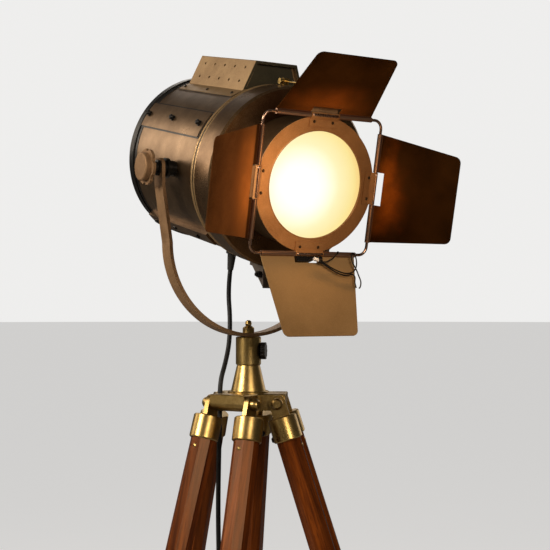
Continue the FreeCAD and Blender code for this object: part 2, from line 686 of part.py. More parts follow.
def lamp_bracket():
    """Cross strap inside the drum that carries the holder and the reflector."""
    rear = HOLDER_REAR + 14
    reach = DRUM_RADIUS - SHEET
    strap = box(Vector(-reach, -rear - 2.5, -14), Vector(reach, -rear, 14))
    foot = box(Vector(-reach, -rear - 20, -14), Vector(-reach + 12, -rear, 14))
    feet = [foot, foot.mirror(ORIGIN, X_AXIS)]
    outer = cylinder(reach, Vector(0, -rear + 10, 0), Vector(0, -1, 0), 60)
    core = cylinder(reach - 2.5, Vector(0, -rear - 2.5, 0), Vector(0, -1, 0), 60)
    hole = cylinder(HOLDER_RADIUS + SEAT / 2, Vector(0, -rear + 10, 0), Vector(0, -1, 0), 60)
    feet = [part.cut(core) for part in feet]
    return fuse([strap] + feet).common(outer).cut(hole)


# ---------------------------------------------------------------- yoke and tilt knobs
def yoke():
    centre = -(YOKE_DROP - YOKE_ARC_RADIUS)
    top = 14.0
    outer = YOKE_ARC_RADIUS
    inner = outer - YOKE_BAR_THICK
    pad_inner = YOKE_PAD_HALF - YOKE_BAR_THICK

    def bend(radius, pad):
        return [Vector(-pad, 0, top), Vector(-pad, 0, -YOKE_PAD_LOW), Vector(-radius, 0, centre),
                Vector(0, 0, centre - radius), Vector(radius, 0, centre),
                Vector(pad, 0, -YOKE_PAD_LOW), Vector(pad, 0, top)]

    def path(points):
        return [points[0:2], points[1:3], points[2:5], points[4:6], points[5:7]]

    outside = bend(outer, YOKE_PAD_HALF)
    inside = list(reversed(bend(inner, pad_inner)))
    face = outline(*path(outside), (outside[-1], inside[0]), *path(inside), (inside[-1], outside[0]))
    bar = face.extrude(Vector(0, YOKE_BAR_WIDTH, 0))
    bar.translate(Vector(0, -YOKE_BAR_WIDTH / 2, 0))
    reach = 2 * YOKE_PAD_HALF
    width = YOKE_BAR_WIDTH / 2
    ends = box(Vector(-reach, -width * 2, 14.0 - width), Vector(reach, width * 2, 40))
    tip = cylinder(width, Vector(-reach, 0, 14.0 - width), X_AXIS, 2 * reach)
    bar = bar.cut(ends.cut(tip))
    bar = bar.cut(cylinder(PIVOT_STUD_RADIUS + RUNNING, Vector(-reach, 0, 0), X_AXIS, 2 * reach))
    bar.translate(Vector(0, 0, PIVOT_HEIGHT))
    stud = cylinder(PIVOT_STUD_RADIUS + SEAT, Vector(0, 0, YOKE_BOTTOM - 10), Z_AXIS, 30)
    return bar.cut(stud)


def pivot_bosses():
    """Threaded boss on each side of the drum that spaces it from the yoke. Built on the tilt axis."""
    inner = math.sqrt(DRUM_RADIUS ** 2 - (PIVOT_BOSS_RADIUS + PIVOT_LOW) ** 2) - SHEET
    face = YOKE_PAD_HALF - YOKE_BAR_THICK - SEAT
    boss = cylinder(PIVOT_BOSS_RADIUS, Vector(inner, 0, 0), X_AXIS, face - inner)
    nut = cylinder(PIVOT_BOSS_RADIUS * 1.3, Vector(face - 9, 0, 0), X_AXIS, 5)
    stud = cylinder(PIVOT_STUD_RADIUS, Vector(inner, 0, 0), X_AXIS, YOKE_PAD_HALF + SEAT + KNOB_SPACER_LENGTH - inner)
    drum = cylinder(DRUM_RADIUS, Vector(0, -60, PIVOT_LOW), Y_AXIS, 120)
    whole = fuse([boss, nut]).cut(drum)
    whole = max(whole.Solids, key=lambda solid: solid.Volume)
    return group(both_sides(fuse([whole, stud])))


def tilt_knob():
    """Round knob on a lobed plate and a black spacer, on the right-hand side."""
    start = YOKE_PAD_HALF + SEAT
    spacer = cylinder(KNOB_SPACER_RADIUS, Vector(start, 0, 0), X_AXIS, KNOB_SPACER_LENGTH)
    wing_start = start + KNOB_SPACER_LENGTH
    wing = knurled(KNOB_WING_RADIUS, 6.0, KNOB_LOBES, Vector(wing_start, 0, 0), X_AXIS, Z_AXIS, KNOB_WING_THICK)
    disc_start = wing_start + KNOB_WING_THICK
    disc = cylinder(KNOB_DISC_RADIUS, Vector(disc_start, 0, 0), X_AXIS, KNOB_DISC_THICK)
    rims = [edge for edge in disc.Edges if abs(edge.CenterOfMass.x - disc_start - KNOB_DISC_THICK) < 0.01]
    disc = disc.makeFillet(2.5, rims)
    bore = cylinder(PIVOT_STUD_RADIUS + RUNNING, Vector(start - 1, 0, 0), X_AXIS, KNOB_SPACER_LENGTH + 1 + RUNNING)
    return fuse([spacer, wing, disc]).cut(bore)


# ---------------------------------------------------------------- column
def finial_nut():
    """Nut and rounded tip above the yoke, with the stud that runs down into the socket."""
    base = YOKE_TOP_OF_BAR + SEAT
    neck = base + FINIAL_HEIGHT * 0.45
    top = base + FINIAL_HEIGHT
    slim = FINIAL_RADIUS * 0.5
    profile = turned([(0, base), (FINIAL_RADIUS, base), (FINIAL_RADIUS, neck - 1.5), (FINIAL_RADIUS * 0.85, neck),
                      (slim, neck + 2), (slim, neck + 3), (slim * 1.15, neck + 5), (slim, top - 2),
                      (slim * 0.5, top - 0.5), (0, top)])
    stud = cylinder(PIVOT_STUD_RADIUS, Vector(0, 0, YOKE_BOTTOM - 8), Z_AXIS, neck - YOKE_BOTTOM + 8)
    return fuse([profile, stud])


def socket():
    """Brass sleeve that turns on the cone's spigot and is locked by the side screw."""
    roof = YOKE_BOTTOM - 8
    bore = SPIGOT_RADIUS + 0.1
    sleeve = turned([(PIVOT_STUD_RADIUS + SEAT, roof), (PIVOT_STUD_RADIUS + SEAT, YOKE_BOTTOM),
                     (SOCKET_RADIUS - 1.5, YOKE_BOTTOM), (SOCKET_RADIUS, YOKE_BOTTOM - 1.5),
                     (SOCKET_RADIUS, SOCKET_BOTTOM + 1.5), (SOCKET_RADIUS - 1.5, SOCKET_BOTTOM),
                     (bore, SOCKET_BOTTOM), (bore, roof)])
    out = heading(LOCK_AZIMUTH)
    hole = cylinder(LOCK_STEM_RADIUS + RUNNING, Vector(0, 0, YOKE_BOTTOM - SOCKET_LENGTH / 2), out, 40)
    return sleeve.cut(hole)


def pan_lock_screw():
    out = heading(LOCK_AZIMUTH)
    height = YOKE_BOTTOM - SOCKET_LENGTH / 2
    start = SPIGOT_RADIUS + 0.1 + SEAT
    knob_start = SOCKET_RADIUS + 1
    stem = cylinder(LOCK_STEM_RADIUS, out * start + Vector(0, 0, height), out, knob_start - start + 1)
    knob = knurled(LOCK_KNOB_RADIUS, 2.6, 10, out * knob_start + Vector(0, 0, height), out, Z_AXIS, LOCK_KNOB_THICK)
    return fuse([stem, knob])


def column_cone():
    """Conical brass column foot with its spigot."""
    top_of_spigot = CONE_TOP + SPIGOT_LENGTH - RUNNING
    return turned([
        (0, HUB_TOP), (CONE_FLANGE_RADIUS, HUB_TOP), (CONE_FLANGE_RADIUS, CONE_BASE - 1),
        (CONE_FLANGE_RADIUS - 1, CONE_BASE), (CONE_BASE_RADIUS, CONE_BASE), (CONE_TOP_RADIUS, CONE_TOP),
        (SPIGOT_RADIUS, CONE_TOP), (SPIGOT_RADIUS, top_of_spigot - 1), (SPIGOT_RADIUS - 1, top_of_spigot),
        (0, top_of_spigot),
    ])


# ---------------------------------------------------------------- tripod
def leg_place(azimuth, splay):
    """Leg frame: origin on the hinge bolt, X outward, Y along the bolt, Z up the leg."""
    out = heading(azimuth)
    spot = out * HUB_HINGE_REACH + Vector(0, 0, HINGE_HEIGHT)
    return Placement(spot, Rotation(Z_AXIS, azimuth - 90)).multiply(Placement(ORIGIN, Rotation(Y_AXIS, -splay)))


def hub():
    """Cast hub: a round core with three knuckles, each with a rounded nose round its bolt."""
    bottom = HUB_TOP - HUB_THICK
    core = cylinder(HUB_CORE_RADIUS, Vector(0, 0, bottom), Z_AXIS, HUB_THICK)
    half = KNUCKLE_WIDTH / 2
    arms = []
    for azimuth in LEG_AZIMUTHS.values():
        place = leg_place(azimuth, 0.0)
        floor = bottom - HINGE_HEIGHT
        roof = HUB_TOP - HINGE_HEIGHT
        block = box(Vector(-HUB_HINGE_REACH, -half, floor), Vector(0, half, roof))
        eye = cylinder(HUB_EYE_RADIUS, Vector(0, -half, 0), Y_AXIS, KNUCKLE_WIDTH)
        roof_lip = box(Vector(0, -half, 0), Vector(HUB_EYE_RADIUS, half, roof))
        nose = fuse([block, eye, roof_lip])
        bolt = cylinder(BOLT_RADIUS + 0.1, Vector(0, -half, 0), Y_AXIS, KNUCKLE_WIDTH)
        arm = nose.cut(bolt)
        arm.Placement = place
        arms.append(arm)
    whole = fuse([core] + arms)
    chamfered = [edge for edge in whole.Edges
                 if abs(edge.CenterOfMass.z - HUB_TOP) < 0.01 and edge.BoundBox.ZLength < 0.01]
    return whole.makeChamfer(1.2, chamfered)


def hinge_bolts():
    """A bolt through each knuckle and its two ears, with an acorn nut at each end."""
    bolts = []
    outer = KNUCKLE_WIDTH / 2 + SEAT + EAR_THICK + SEAT
    for azimuth in LEG_AZIMUTHS.values():
        shank = cylinder(BOLT_RADIUS, Vector(0, -outer, 0), Y_AXIS, 2 * outer)
        base = cylinder(NUT_RADIUS, Vector(0, outer, 0), Y_AXIS, NUT_BASE)
        dome = Part.makeSphere(NUT_RADIUS, Vector(0, outer + NUT_BASE, 0))
        keep = box(Vector(-20, outer + NUT_BASE, -20), Vector(20, outer + NUT_BASE + NUT_RADIUS * 0.8, 20))
        nut = fuse([base, dome.common(keep)])
        bolt = fuse([shank, nut, nut.mirror(ORIGIN, Y_AXIS)])
        bolt.Placement = leg_place(azimuth, 0.0)
        bolts.append(bolt)
    return group(bolts)


def stave_lean(side):
    """Leans a shape out of the pair's middle, about the hinge height. side is -1 or +1."""
    lean = Placement(Vector(0, side * STAVE_OFFSET, 0), Rotation(X_AXIS, side * STAVE_SPREAD))
    return lean


def octagon_bar(flats, top, bottom):
    corner = flats / 2 / math.cos(math.radians(22.5))
    points = []
    for index in range(8):
        angle = math.radians(22.5 + 45.0 * index)
        points.append(Vector(corner * math.cos(angle), corner * math.sin(angle), top))
    return face_of(points).extrude(Vector(0, 0, bottom - top))


def leg_ferrules(azimuth):
    """Two brass ferrules, each with a cap and a flat ear that hangs on the hinge bolt."""
    parts = []
    inner_face = KNUCKLE_WIDTH / 2 + SEAT
    bore = STAVE_FLATS / 2 / math.cos(math.radians(22.5)) + 0.1
    for side in (-1, 1):
        low = -FERRULE_DROP - FERRULE_LENGTH
        sleeve = cylinder(FERRULE_RADIUS, Vector(0, 0, low), Z_AXIS, FERRULE_LENGTH)
        rims = [edge for edge in sleeve.Edges if edge.BoundBox.ZLength < 0.01]
        sleeve = sleeve.makeChamfer(FERRULE_CHAMFER, rims)
        sleeve = sleeve.cut(cylinder(bore, Vector(0, 0, low), Z_AXIS, FERRULE_LENGTH - FERRULE_CAP))
        sleeve.Placement = stave_lean(side)
        start = inner_face if side > 0 else -inner_face - EAR_THICK
        eye = cylinder(EAR_RADIUS, Vector(0, start, 0), Y_AXIS, EAR_THICK)
        tongue = box(Vector(-EAR_RADIUS, start, -FERRULE_DROP - FERRULE_CAP / 2),
                     Vector(EAR_RADIUS, start + EAR_THICK, 0))
        bolt = cylinder(BOLT_RADIUS + RUNNING / 3, Vector(0, start, 0), Y_AXIS, EAR_THICK)
        whole = fuse([eye, tongue, sleeve]).cut(bolt)
        whole.Placement = leg_place(azimuth, LEG_SPLAY).multiply(whole.Placement)
        parts.append(whole)
    return group(parts)


def leg_staves(azimuth):
    staves = []
    top = -FERRULE_DROP - FERRULE_CAP
    bottom = -CLAMP_START - CLAMP_LENGTH + FERRULE_CAP
    for side in (-1, 1):
        stave = octagon_bar(STAVE_FLATS, top, bottom)
        stave.Placement = leg_place(azimuth, LEG_SPLAY).multiply(stave_lean(side))
        staves.append(stave)
    return group(staves)


def sleeve_half(gap):
    return Vector(EXTENSION_DEPTH / 2 + gap, EXTENSION_WIDTH / 2 + gap, 0)


def leg_clamp(azimuth):
    """Casting that ties the pair's feet together and guides the extension between them."""
    top = -CLAMP_START
    bottom = top - CLAMP_LENGTH
    bore = STAVE_FLATS / 2 / math.cos(math.radians(22.5)) + 0.1
    reach = STAVE_OFFSET + CLAMP_START * math.tan(math.radians(STAVE_SPREAD))
    web = box(Vector(-CLAMP_WEB_THICK / 2, -reach, bottom + 6), Vector(CLAMP_WEB_THICK / 2, reach, top - 6))
    outer = sleeve_half(EXTENSION_FIT + CLAMP_SLEEVE_WALL)
    sleeve = box(Vector(-outer.x, -outer.y, bottom), Vector(outer.x, outer.y, top))
    upright = [edge for edge in sleeve.Edges if edge.BoundBox.ZLength > CLAMP_LENGTH / 2]
    sleeve = sleeve.makeChamfer(3.0, upright)
    middle = (top + bottom) / 2
    boss = cylinder(CLAMP_BOSS_RADIUS, Vector(0, 0, middle), X_AXIS, outer.x + CLAMP_BOSS_LENGTH)
    shapes = [web, sleeve, boss]
    bores = []
    for side in (-1, 1):
        cup = cylinder(FERRULE_RADIUS, Vector(0, 0, bottom), Z_AXIS, CLAMP_LENGTH)
        rims = [edge for edge in cup.Edges if edge.BoundBox.ZLength < 0.01]
        cup = cup.makeChamfer(FERRULE_CHAMFER, rims)
        hollow = cylinder(bore, Vector(0, 0, bottom + FERRULE_CAP), Z_AXIS, CLAMP_LENGTH)
        cup.Placement = stave_lean(side)
        hollow.Placement = stave_lean(side)
        shapes.append(cup)
        bores.append(hollow)
    whole = fuse(shapes)
    for hollow in bores:
        whole = whole.cut(hollow)
    inner = sleeve_half(EXTENSION_FIT)
    whole = whole.cut(box(Vector(-inner.x, -inner.y, bottom - 1), Vector(inner.x, inner.y, top + 1)))
    screw = cylinder(CLAMP_STEM_RADIUS + RUNNING, Vector(0, 0, middle), X_AXIS, outer.x + CLAMP_BOSS_LENGTH + 1)
    whole = whole.cut(screw)
    whole.Placement = leg_place(azimuth, LEG_SPLAY).multiply(whole.Placement)
    return whole


def leg_clamp_screw(azimuth):
    middle = -CLAMP_START - CLAMP_LENGTH / 2
    start = sleeve_half(EXTENSION_FIT).x
    knob_start = sleeve_half(EXTENSION_FIT + CLAMP_SLEEVE_WALL).x + CLAMP_BOSS_LENGTH + 1
    stem = cylinder(CLAMP_STEM_RADIUS, Vector(start, 0, middle), X_AXIS, knob_start - start + 1)
    knob = knurled(CLAMP_KNOB_RADIUS, 3.0, 8, Vector(knob_start, 0, middle), X_AXIS, Z_AXIS, CLAMP_KNOB_THICK)
    whole = fuse([stem, knob])
    whole.Placement = leg_place(azimuth, LEG_SPLAY).multiply(whole.Placement)
    return whole


def extension_bar(grow, top, bottom):
    half_x = EXTENSION_DEPTH / 2 + grow
    half_y = EXTENSION_WIDTH / 2 + grow
    bar = box(Vector(-half_x, -half_y, bottom), Vector(half_x, half_y, top))
    upright = [edge for edge in bar.Edges if edge.BoundBox.ZLength > (top - bottom) / 2]
    return bar.makeChamfer(EXTENSION_CHAMFER, upright)


def floor_cut():
    return box(Vector(-1000, -1000, -500), Vector(1000, 1000, 0))


def leg_extension(azimuth):
    bar = extension_bar(0.0, -EXTENSION_START, -LEG_LENGTH + FOOT_WALL * 3)
    bar.Placement = leg_place(azimuth, LEG_SPLAY)
    return bar


def leg_foot(azimuth):
    """Rubber boot over the end of the extension, cut flat on the floor."""
    top = -LEG_LENGTH + FOOT_LENGTH
    boot = extension_bar(FOOT_WALL, top, -LEG_LENGTH - FOOT_LENGTH)
    boot = boot.cut(extension_bar(FOOT_BORE_GAP, top + 1, -LEG_LENGTH + FOOT_WALL * 3 - FOOT_BORE_GAP))
    boot.Placement = leg_place(azimuth, LEG_SPLAY)
    return boot.cut(floor_cut())


# ---------------------------------------------------------------- cord
def cord_gland():
    """Threaded nut and tapered rubber sleeve under the drum."""
    seat = -math.sqrt(DRUM_RADIUS ** 2 - GLAND_RADIUS ** 2)
    nut = cylinder(GLAND_RADIUS, Vector(0, -GLAND_AHEAD, -DRUM_RADIUS - GLAND_NUT_LENGTH), Z_AXIS,
                   DRUM_RADIUS + GLAND_NUT_LENGTH + seat)
    length = GLAND_LENGTH - GLAND_NUT_LENGTH
    taper = Part.makeCone(GLAND_RADIUS * 0.75, CORD_RADIUS + 1.0, length,
                          Vector(0, -GLAND_AHEAD, -DRUM_RADIUS - GLAND_NUT_LENGTH), Vector(0, 0, -1))
    drum = cylinder(DRUM_RADIUS, Vector(0, -DRUM_FRONT, 0), Y_AXIS, DRUM_FRONT - DRUM_REAR)
    return fuse([nut, taper]).cut(drum)


def below_gland(drop):
    """A point straight out of the gland, in the lamp's own downward direction."""
    return HEAD.multVec(Vector(0, -GLAND_AHEAD, -DRUM_RADIUS - GLAND_LENGTH - drop))


def along_cord(out, height):
    """A point of the hanging cord: its distance from the column axis and its height."""
    return heading(CORD_AZIMUTH) * out + Vector(0, 0, height)


HUB_CORD_HEIGHT = 1030.0
# route of the stretch between the lamp and the hub
UPPER_ROUTE = [
    below_gland(0.0),
    below_gland(32.0),
    Vector(0.0, 55.5, 1148.0),
    Vector(-7.0, 45.0, 1110.0),
    Vector(-20.0, 34.0, 1080.0),
    along_cord(CORD_HUB_RADIUS, 1054.0),
    along_cord(CORD_HUB_RADIUS, HUB_CORD_HEIGHT),
]
FLOOR_LINE = CORD_RADIUS + 0.05
# route of the hanging stretch: (distance from the column axis, height)
DROP_ROUTE = [
    (CORD_HUB_RADIUS, HUB_CORD_HEIGHT), (CORD_HUB_RADIUS, 1000.0), (43.6, 940.0), (44.6, 870.0), (43.2, 790.0),
    (42.0, 700.0), (41.8, 610.0), (42.6, 520.0), (44.0, 430.0), (45.6, 340.0), (47.0, 255.0), (48.4, 180.0),
    (50.0, 115.0), (54.0, 65.0), (64.0, 28.0), (86.0, 8.0), (116.0, FLOOR_LINE),
    (COIL_REACH - CORD_DIAMETER, FLOOR_LINE),
]


def tube(route, radius, name):
    """Straight runs joined by arcs as large as their runs allow; prints the radii."""
    corners = []
    for index in range(1, len(route) - 1):
        back = route[index - 1] - route[index]
        ahead = route[index + 1] - route[index]
        turn = math.pi - back.getAngle(ahead)
        cut = 0.45 * min(back.Length, ahead.Length)
        first = route[index] + back * (cut / back.Length)
        last = route[index] + ahead * (cut / ahead.Length)
        bend = cut / math.tan(turn / 2)
        inward = back * (1 / back.Length) + ahead * (1 / ahead.Length)
        inward.normalize()
        middle = route[index] + inward * (bend / math.cos(turn / 2) - bend)
        corners.append((first, middle, last, bend))
    edges = []
    at = route[0]
    for first, middle, last, bend in corners:
        edges.append(Part.makeLine(at, first))
        edges.append(Part.Arc(first, middle, last).toShape())
        at = last
    edges.append(Part.makeLine(at, route[-1]))
    path = Part.Wire(edges)
    profile = Part.Wire(Part.makeCircle(radius, route[0], route[1] - route[0]))
    solid = path.makePipeShell([profile], True, False)
    expected = math.pi * radius ** 2 * path.Length
    radii = ", ".join("%.0f" % corner[3] for corner in corners)
    print("%s: length %.0f mm, volume share %.4f, radii %s" % (name, path.Length, solid.Volume / expected, radii))
    return solid


def biarc(start, start_way, end, end_way):
    """Two arcs that leave along one direction and arrive along another."""
    chord = end - start
    ways = start_way + end_way
    a = 2 * (1 - start_way.dot(end_way))
    b = 2 * chord.dot(ways)
    c = -chord.dot(chord)
    reach = (-b + math.sqrt(b * b - 4 * a * c)) / (2 * a)
    joint = (start + end) * 0.5 + (start_way - end_way) * (reach / 2)
    arcs = []
    for point, way, other in ((start, start_way, joint), (end, end_way * -1, joint)):
        arcs.append(arc_from(point, way, other))
    return arcs


def arc_from(point, way, other):
    """Arc from a point along a direction to another point."""
    chord = other - point
    side = chord - way * chord.dot(way)
    side.normalize()
    radius = chord.dot(chord) / (2 * chord.dot(side))
    centre = point + side * radius
    middle = (point + other) * 0.5 - centre
    middle.normalize()
    return Part.Arc(point, centre + middle * radius, other).toShape()


def coil_frame():
    """Level directions of the coil: along the cord's run, across it, and its middle."""
    run = heading(CORD_AZIMUTH)
    across = Vector(-run.y, run.x, 0)
    outer = COIL_RADIUS + COIL_PITCH * COIL_TURNS / 2
    middle = run * COIL_REACH + across * outer + Vector(0, 0, FLOOR_LINE)
    return run, across, middle


COIL_PITCH = CORD_DIAMETER + COIL_GAP


def coil_point(turns):
    """Centre line of the coil after a number of turns: in on the floor, up, and out again."""
    outer = COIL_RADIUS + COIL_PITCH * COIL_TURNS / 2
    inner = COIL_RADIUS - COIL_PITCH * COIL_TURNS / 2
    if turns < COIL_TURNS:
        radius = outer - COIL_PITCH * turns
        height = 0.0
    elif turns < COIL_TURNS + 0.5:
        share = (turns - COIL_TURNS) / 0.5
        radius = inner - COIL_TUCK * math.sin(math.pi * share) ** 2
        height = COIL_RISE * (3 * share ** 2 - 2 * share ** 3)
    else:
        radius = inner + COIL_PITCH * (turns - COIL_TURNS - 0.5)
        height = COIL_RISE
    run, across, middle = coil_frame()
    angle = 2 * math.pi * turns
    return middle + run * (radius * math.sin(angle)) - across * (radius * math.cos(angle)) + Vector(0, 0, height)


def coil_way(turns):
    step = 0.02
    way = coil_point(turns + step) - coil_point(turns - step)
    way.normalize()
    return way


COIL_END = 2 * COIL_TURNS


def cord_coil():
    """Neat round coil in two layers: one unbroken tube with a straight stub at each end."""
    marks = [index * 0.25 for index in range(int(COIL_END * 4) + 1)]
    points = [coil_point(mark) for mark in marks]
    ways = [coil_way(mark) for mark in marks]
    run = heading(CORD_AZIMUTH)
    ways[0] = run
    ways[-1] = Vector(ways[-1].x, ways[-1].y, 0)
    ways[-1].normalize()
    edges = [Part.makeLine(points[0] - run * CORD_DIAMETER, points[0])]
    for index in range(len(marks) - 1):
        edges += biarc(points[index], ways[index], points[index + 1], ways[index + 1])
    edges.append(Part.makeLine(points[-1], points[-1] + ways[-1] * CORD_DIAMETER))
    path = Part.Wire(Part.__sortEdges__(edges))
    profile = Part.Wire(Part.makeCircle(CORD_RADIUS, points[0] - run * CORD_DIAMETER, run))
    solid = path.makePipeShell([profile], True, False)
    samples = path.discretize(Number=700)
    step = path.Length / 699
    skip = int(4 * CORD_DIAMETER / step)
    gap = min((samples[first] - samples[second]).Length
              for first in range(len(samples)) for second in range(first + skip, len(samples)))
    expected = math.pi * CORD_RADIUS ** 2 * path.Length
    print("cord_coil: length %.0f mm, volume share %.4f, least gap %.2f mm"
          % (path.Length, solid.Volume / expected, gap - CORD_DIAMETER))
    return solid


def cord_plug():
    """Two-blade plug lying beside the coil, on the end of the cord."""
    way = Vector(coil_way(COIL_END).x, coil_way(COIL_END).y, 0)
    way.normalize()
    spot = coil_point(COIL_END) + way * CORD_DIAMETER
    half = spot.z
    nose = PLUG_RELIEF
    relief = Part.makeCone(CORD_RADIUS + 0.2, PLUG_RELIEF_END, nose, ORIGIN, X_AXIS)
    body = box(Vector(nose, -PLUG_WIDTH / 2, -half), Vector(nose + PLUG_LENGTH, PLUG_WIDTH / 2, half))
    upright = [edge for edge in body.Edges if edge.BoundBox.XLength > PLUG_LENGTH / 2]
    body = body.makeFillet(half * 0.6, upright)
    whole = fuse([relief, body])
    for side in (-1, 1):
        middle = side * PLUG_BLADE_SPACING / 2
        blade = box(Vector(nose + PLUG_LENGTH, middle - PLUG_BLADE_THICK / 2, -PLUG_BLADE_WIDTH / 2),
                    Vector(nose + PLUG_LENGTH + PLUG_BLADE_LENGTH, middle + PLUG_BLADE_THICK / 2, PLUG_BLADE_WIDTH / 2))
        whole = whole.fuse(blade)
    whole = whole.removeSplitter()
    whole.Placement = Placement(spot, Rotation(X_AXIS, way))
    return whole


# ---------------------------------------------------------------- nodes
def build():
    head_nodes = {
        "drum_shell": drum_shell(), "rear_rim": rear_rim(), "rear_cap": rear_cap(), "bead_ring": bead_ring(),
        "front_bell": front_bell(), "front_nose": front_nose(), "lens_ring": lens_ring(),
        "lens_glass": lens_glass(), "wire_frame": wire_frame(), "wire_clips": wire_clips(),
        "clip_rivets": clip_rivets(), "vent_box": vent_box(), "side_plates": side_plates(),
        "bottom_rails": bottom_rails(), "body_screws": body_screws(), "top_catch": top_catch(),
        "latch_bracket": latch_bracket(), "latch_screw": latch_screw(),
        "lamp_holder": lamp_holder(), "bulb": bulb(), "reflector": reflector(), "lamp_bracket": lamp_bracket(),
        "cord_gland": cord_gland(),
    }
    for name in LEAVES:
        head_nodes[name] = leaf(name)
    nodes = {name: placed_at(HEAD, shape) for name, shape in head_nodes.items()}
    nodes["pivot_bosses"] = placed_at(TILTED, pivot_bosses())
    nodes["tilt_knob_right"] = placed_at(TILTED, tilt_knob())
    nodes["tilt_knob_left"] = placed_at(TILTED, tilt_knob().mirror(ORIGIN, X_AXIS))
    nodes["yoke"] = yoke()
    nodes["finial_nut"] = finial_nut()
    nodes["socket"] = socket()
    nodes["pan_lock_screw"] = pan_lock_screw()
    nodes["column_cone"] = column_cone()
    nodes["hub"] = hub()
    nodes["hinge_bolts"] = hinge_bolts()
    for name, azimuth in LEG_AZIMUTHS.items():
        nodes["leg_%s_ferrules" % name] = leg_ferrules(azimuth)
        nodes["leg_%s_staves" % name] = leg_staves(azimuth)
        nodes["leg_%s_clamp" % name] = leg_clamp(azimuth)
        nodes["leg_%s_clamp_screw" % name] = leg_clamp_screw(azimuth)
        nodes["leg_%s_extension" % name] = leg_extension(azimuth)
        nodes["leg_%s_foot" % name] = leg_foot(azimuth)
    nodes["cord_upper"] = tube(UPPER_ROUTE, CORD_RADIUS, "cord_upper")
    nodes["cord_drop"] = tube([along_cord(out, height) for out, height in DROP_ROUTE], CORD_RADIUS, "cord_drop")
    nodes["cord_coil"] = cord_coil()
    nodes["cord_plug"] = cord_plug()
    return nodes


os.makedirs("parts", exist_ok=True)
for node_name, node_shape in build().items():
    node_shape.exportStep("parts/%s.step" % node_name)
    valid = node_shape.isValid()
    if not valid:
        print("not valid:", node_name)
print("done")
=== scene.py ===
import json
import math

import bmesh
import bpy
from mathutils import Matrix, Vector


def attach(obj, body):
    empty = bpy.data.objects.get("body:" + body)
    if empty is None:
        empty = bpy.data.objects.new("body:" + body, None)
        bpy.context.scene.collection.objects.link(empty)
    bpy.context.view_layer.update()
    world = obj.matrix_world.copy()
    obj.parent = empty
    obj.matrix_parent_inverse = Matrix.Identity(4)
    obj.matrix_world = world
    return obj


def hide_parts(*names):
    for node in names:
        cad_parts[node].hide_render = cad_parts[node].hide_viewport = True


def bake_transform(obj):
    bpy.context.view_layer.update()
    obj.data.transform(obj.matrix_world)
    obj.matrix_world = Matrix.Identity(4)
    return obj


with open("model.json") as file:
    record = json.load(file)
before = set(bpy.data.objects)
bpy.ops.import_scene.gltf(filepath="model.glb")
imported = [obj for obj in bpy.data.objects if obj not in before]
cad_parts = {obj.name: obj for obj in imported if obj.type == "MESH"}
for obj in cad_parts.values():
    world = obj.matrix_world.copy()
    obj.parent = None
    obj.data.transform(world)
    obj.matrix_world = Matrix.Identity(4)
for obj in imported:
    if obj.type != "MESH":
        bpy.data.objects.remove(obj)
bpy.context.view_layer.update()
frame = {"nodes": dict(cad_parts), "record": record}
bpy.context.scene.view_settings.view_transform = "Standard"

# ---------------------------------------------------------------- values of the part itself
# In metres and degrees.
PIVOT_HEIGHT = 1.360
PIVOT_LOW = 0.007
HEAD_TILT = 12.4
LEG_AZIMUTHS = {"right": 55.0, "front": -63.0, "rear": 170.0}
LEG_SPLAY = 17.5
HINGE_REACH = 0.045
HINGE_HEIGHT = 1.0257
STAVE_SPREAD = 3.15
STAVE_OFFSET = 0.034
KNOB_SEAT = 0.1463
CORD_DIAMETER = 0.007
CORD_AZIMUTH = -126.0
CORD_HUB_RADIUS = 0.042
FLOOR_LINE = CORD_DIAMETER / 2 + 0.00005
# On the lamp body in millimetres, like every place that is given to in_head, on_drum or on_bottom_leaf.
DRUM_RADIUS = 122.0
WIRE_AHEAD = 187.3
WIRE_HALF = 93.0
WIRE_THICKNESS = 4.0
STRAP_WIDTH = 44.0
# The sides of the square wire, in quarter turns from the lamp's right.
SIDES = {"right": 0, "top": 1, "left": 2, "bottom": 3}
TILTED = Matrix.Translation((0, 0, PIVOT_HEIGHT)) @ Matrix.Rotation(math.radians(HEAD_TILT), 4, "X")
HEAD = TILTED @ Matrix.Translation((0, 0, PIVOT_LOW))


def in_head(x, ahead, up):
    """A point of the lamp body, in millimetres from the tilt axis and its own axis: right, forward, up."""
    return HEAD @ Vector((x / 1000, -ahead / 1000, up / 1000))


def head_ways():
    """The lamp body's own right, forward and up directions."""
    return [(in_head(*step) - in_head(0, 0, 0)).normalized() for step in ((1, 0, 0), (0, 1, 0), (0, 0, 1))]


def on_wire(side, along, proud=0.0):
    """A point of the square wire: how far along one side from its middle, and how far ahead of the wire."""
    turn = math.radians(90.0 * SIDES[side])
    return in_head(WIRE_HALF * math.cos(turn) - along * math.sin(turn), WIRE_AHEAD + proud,
                   WIRE_HALF * math.sin(turn) + along * math.cos(turn))


def heading(azimuth):
    """The level direction of an azimuth, counted from the front."""
    angle = math.radians(azimuth)
    return Vector((math.sin(angle), -math.cos(angle), 0))


# ---------------------------------------------------------------- camera
CAMERA_PLACE = Vector((-0.8694, -1.5277, PIVOT_HEIGHT - 0.1926))
CAMERA_AHEAD = Vector((0.51356, 0.85770, 0.02458))
CAMERA_LENS = 78.47
CAMERA_SENSOR = 36.0


def add_camera():
    camera = bpy.data.objects.new("camera", bpy.data.cameras.new("camera"))
    bpy.context.scene.collection.objects.link(camera)
    camera.location = CAMERA_PLACE
    camera.rotation_euler = CAMERA_AHEAD.to_track_quat("-Z", "Y").to_euler()
    camera.data.sensor_width = CAMERA_SENSOR
    camera.data.lens = CAMERA_LENS
    bpy.context.scene.camera = camera


add_camera()

# ---------------------------------------------------------------- cord
CORD_RUN = heading(CORD_AZIMUTH)
GLAND_AHEAD = -24.0
GLAND_END = -156.0
CORD_SPLIT_HEIGHT = 1.125
CORD_SIDES = 16


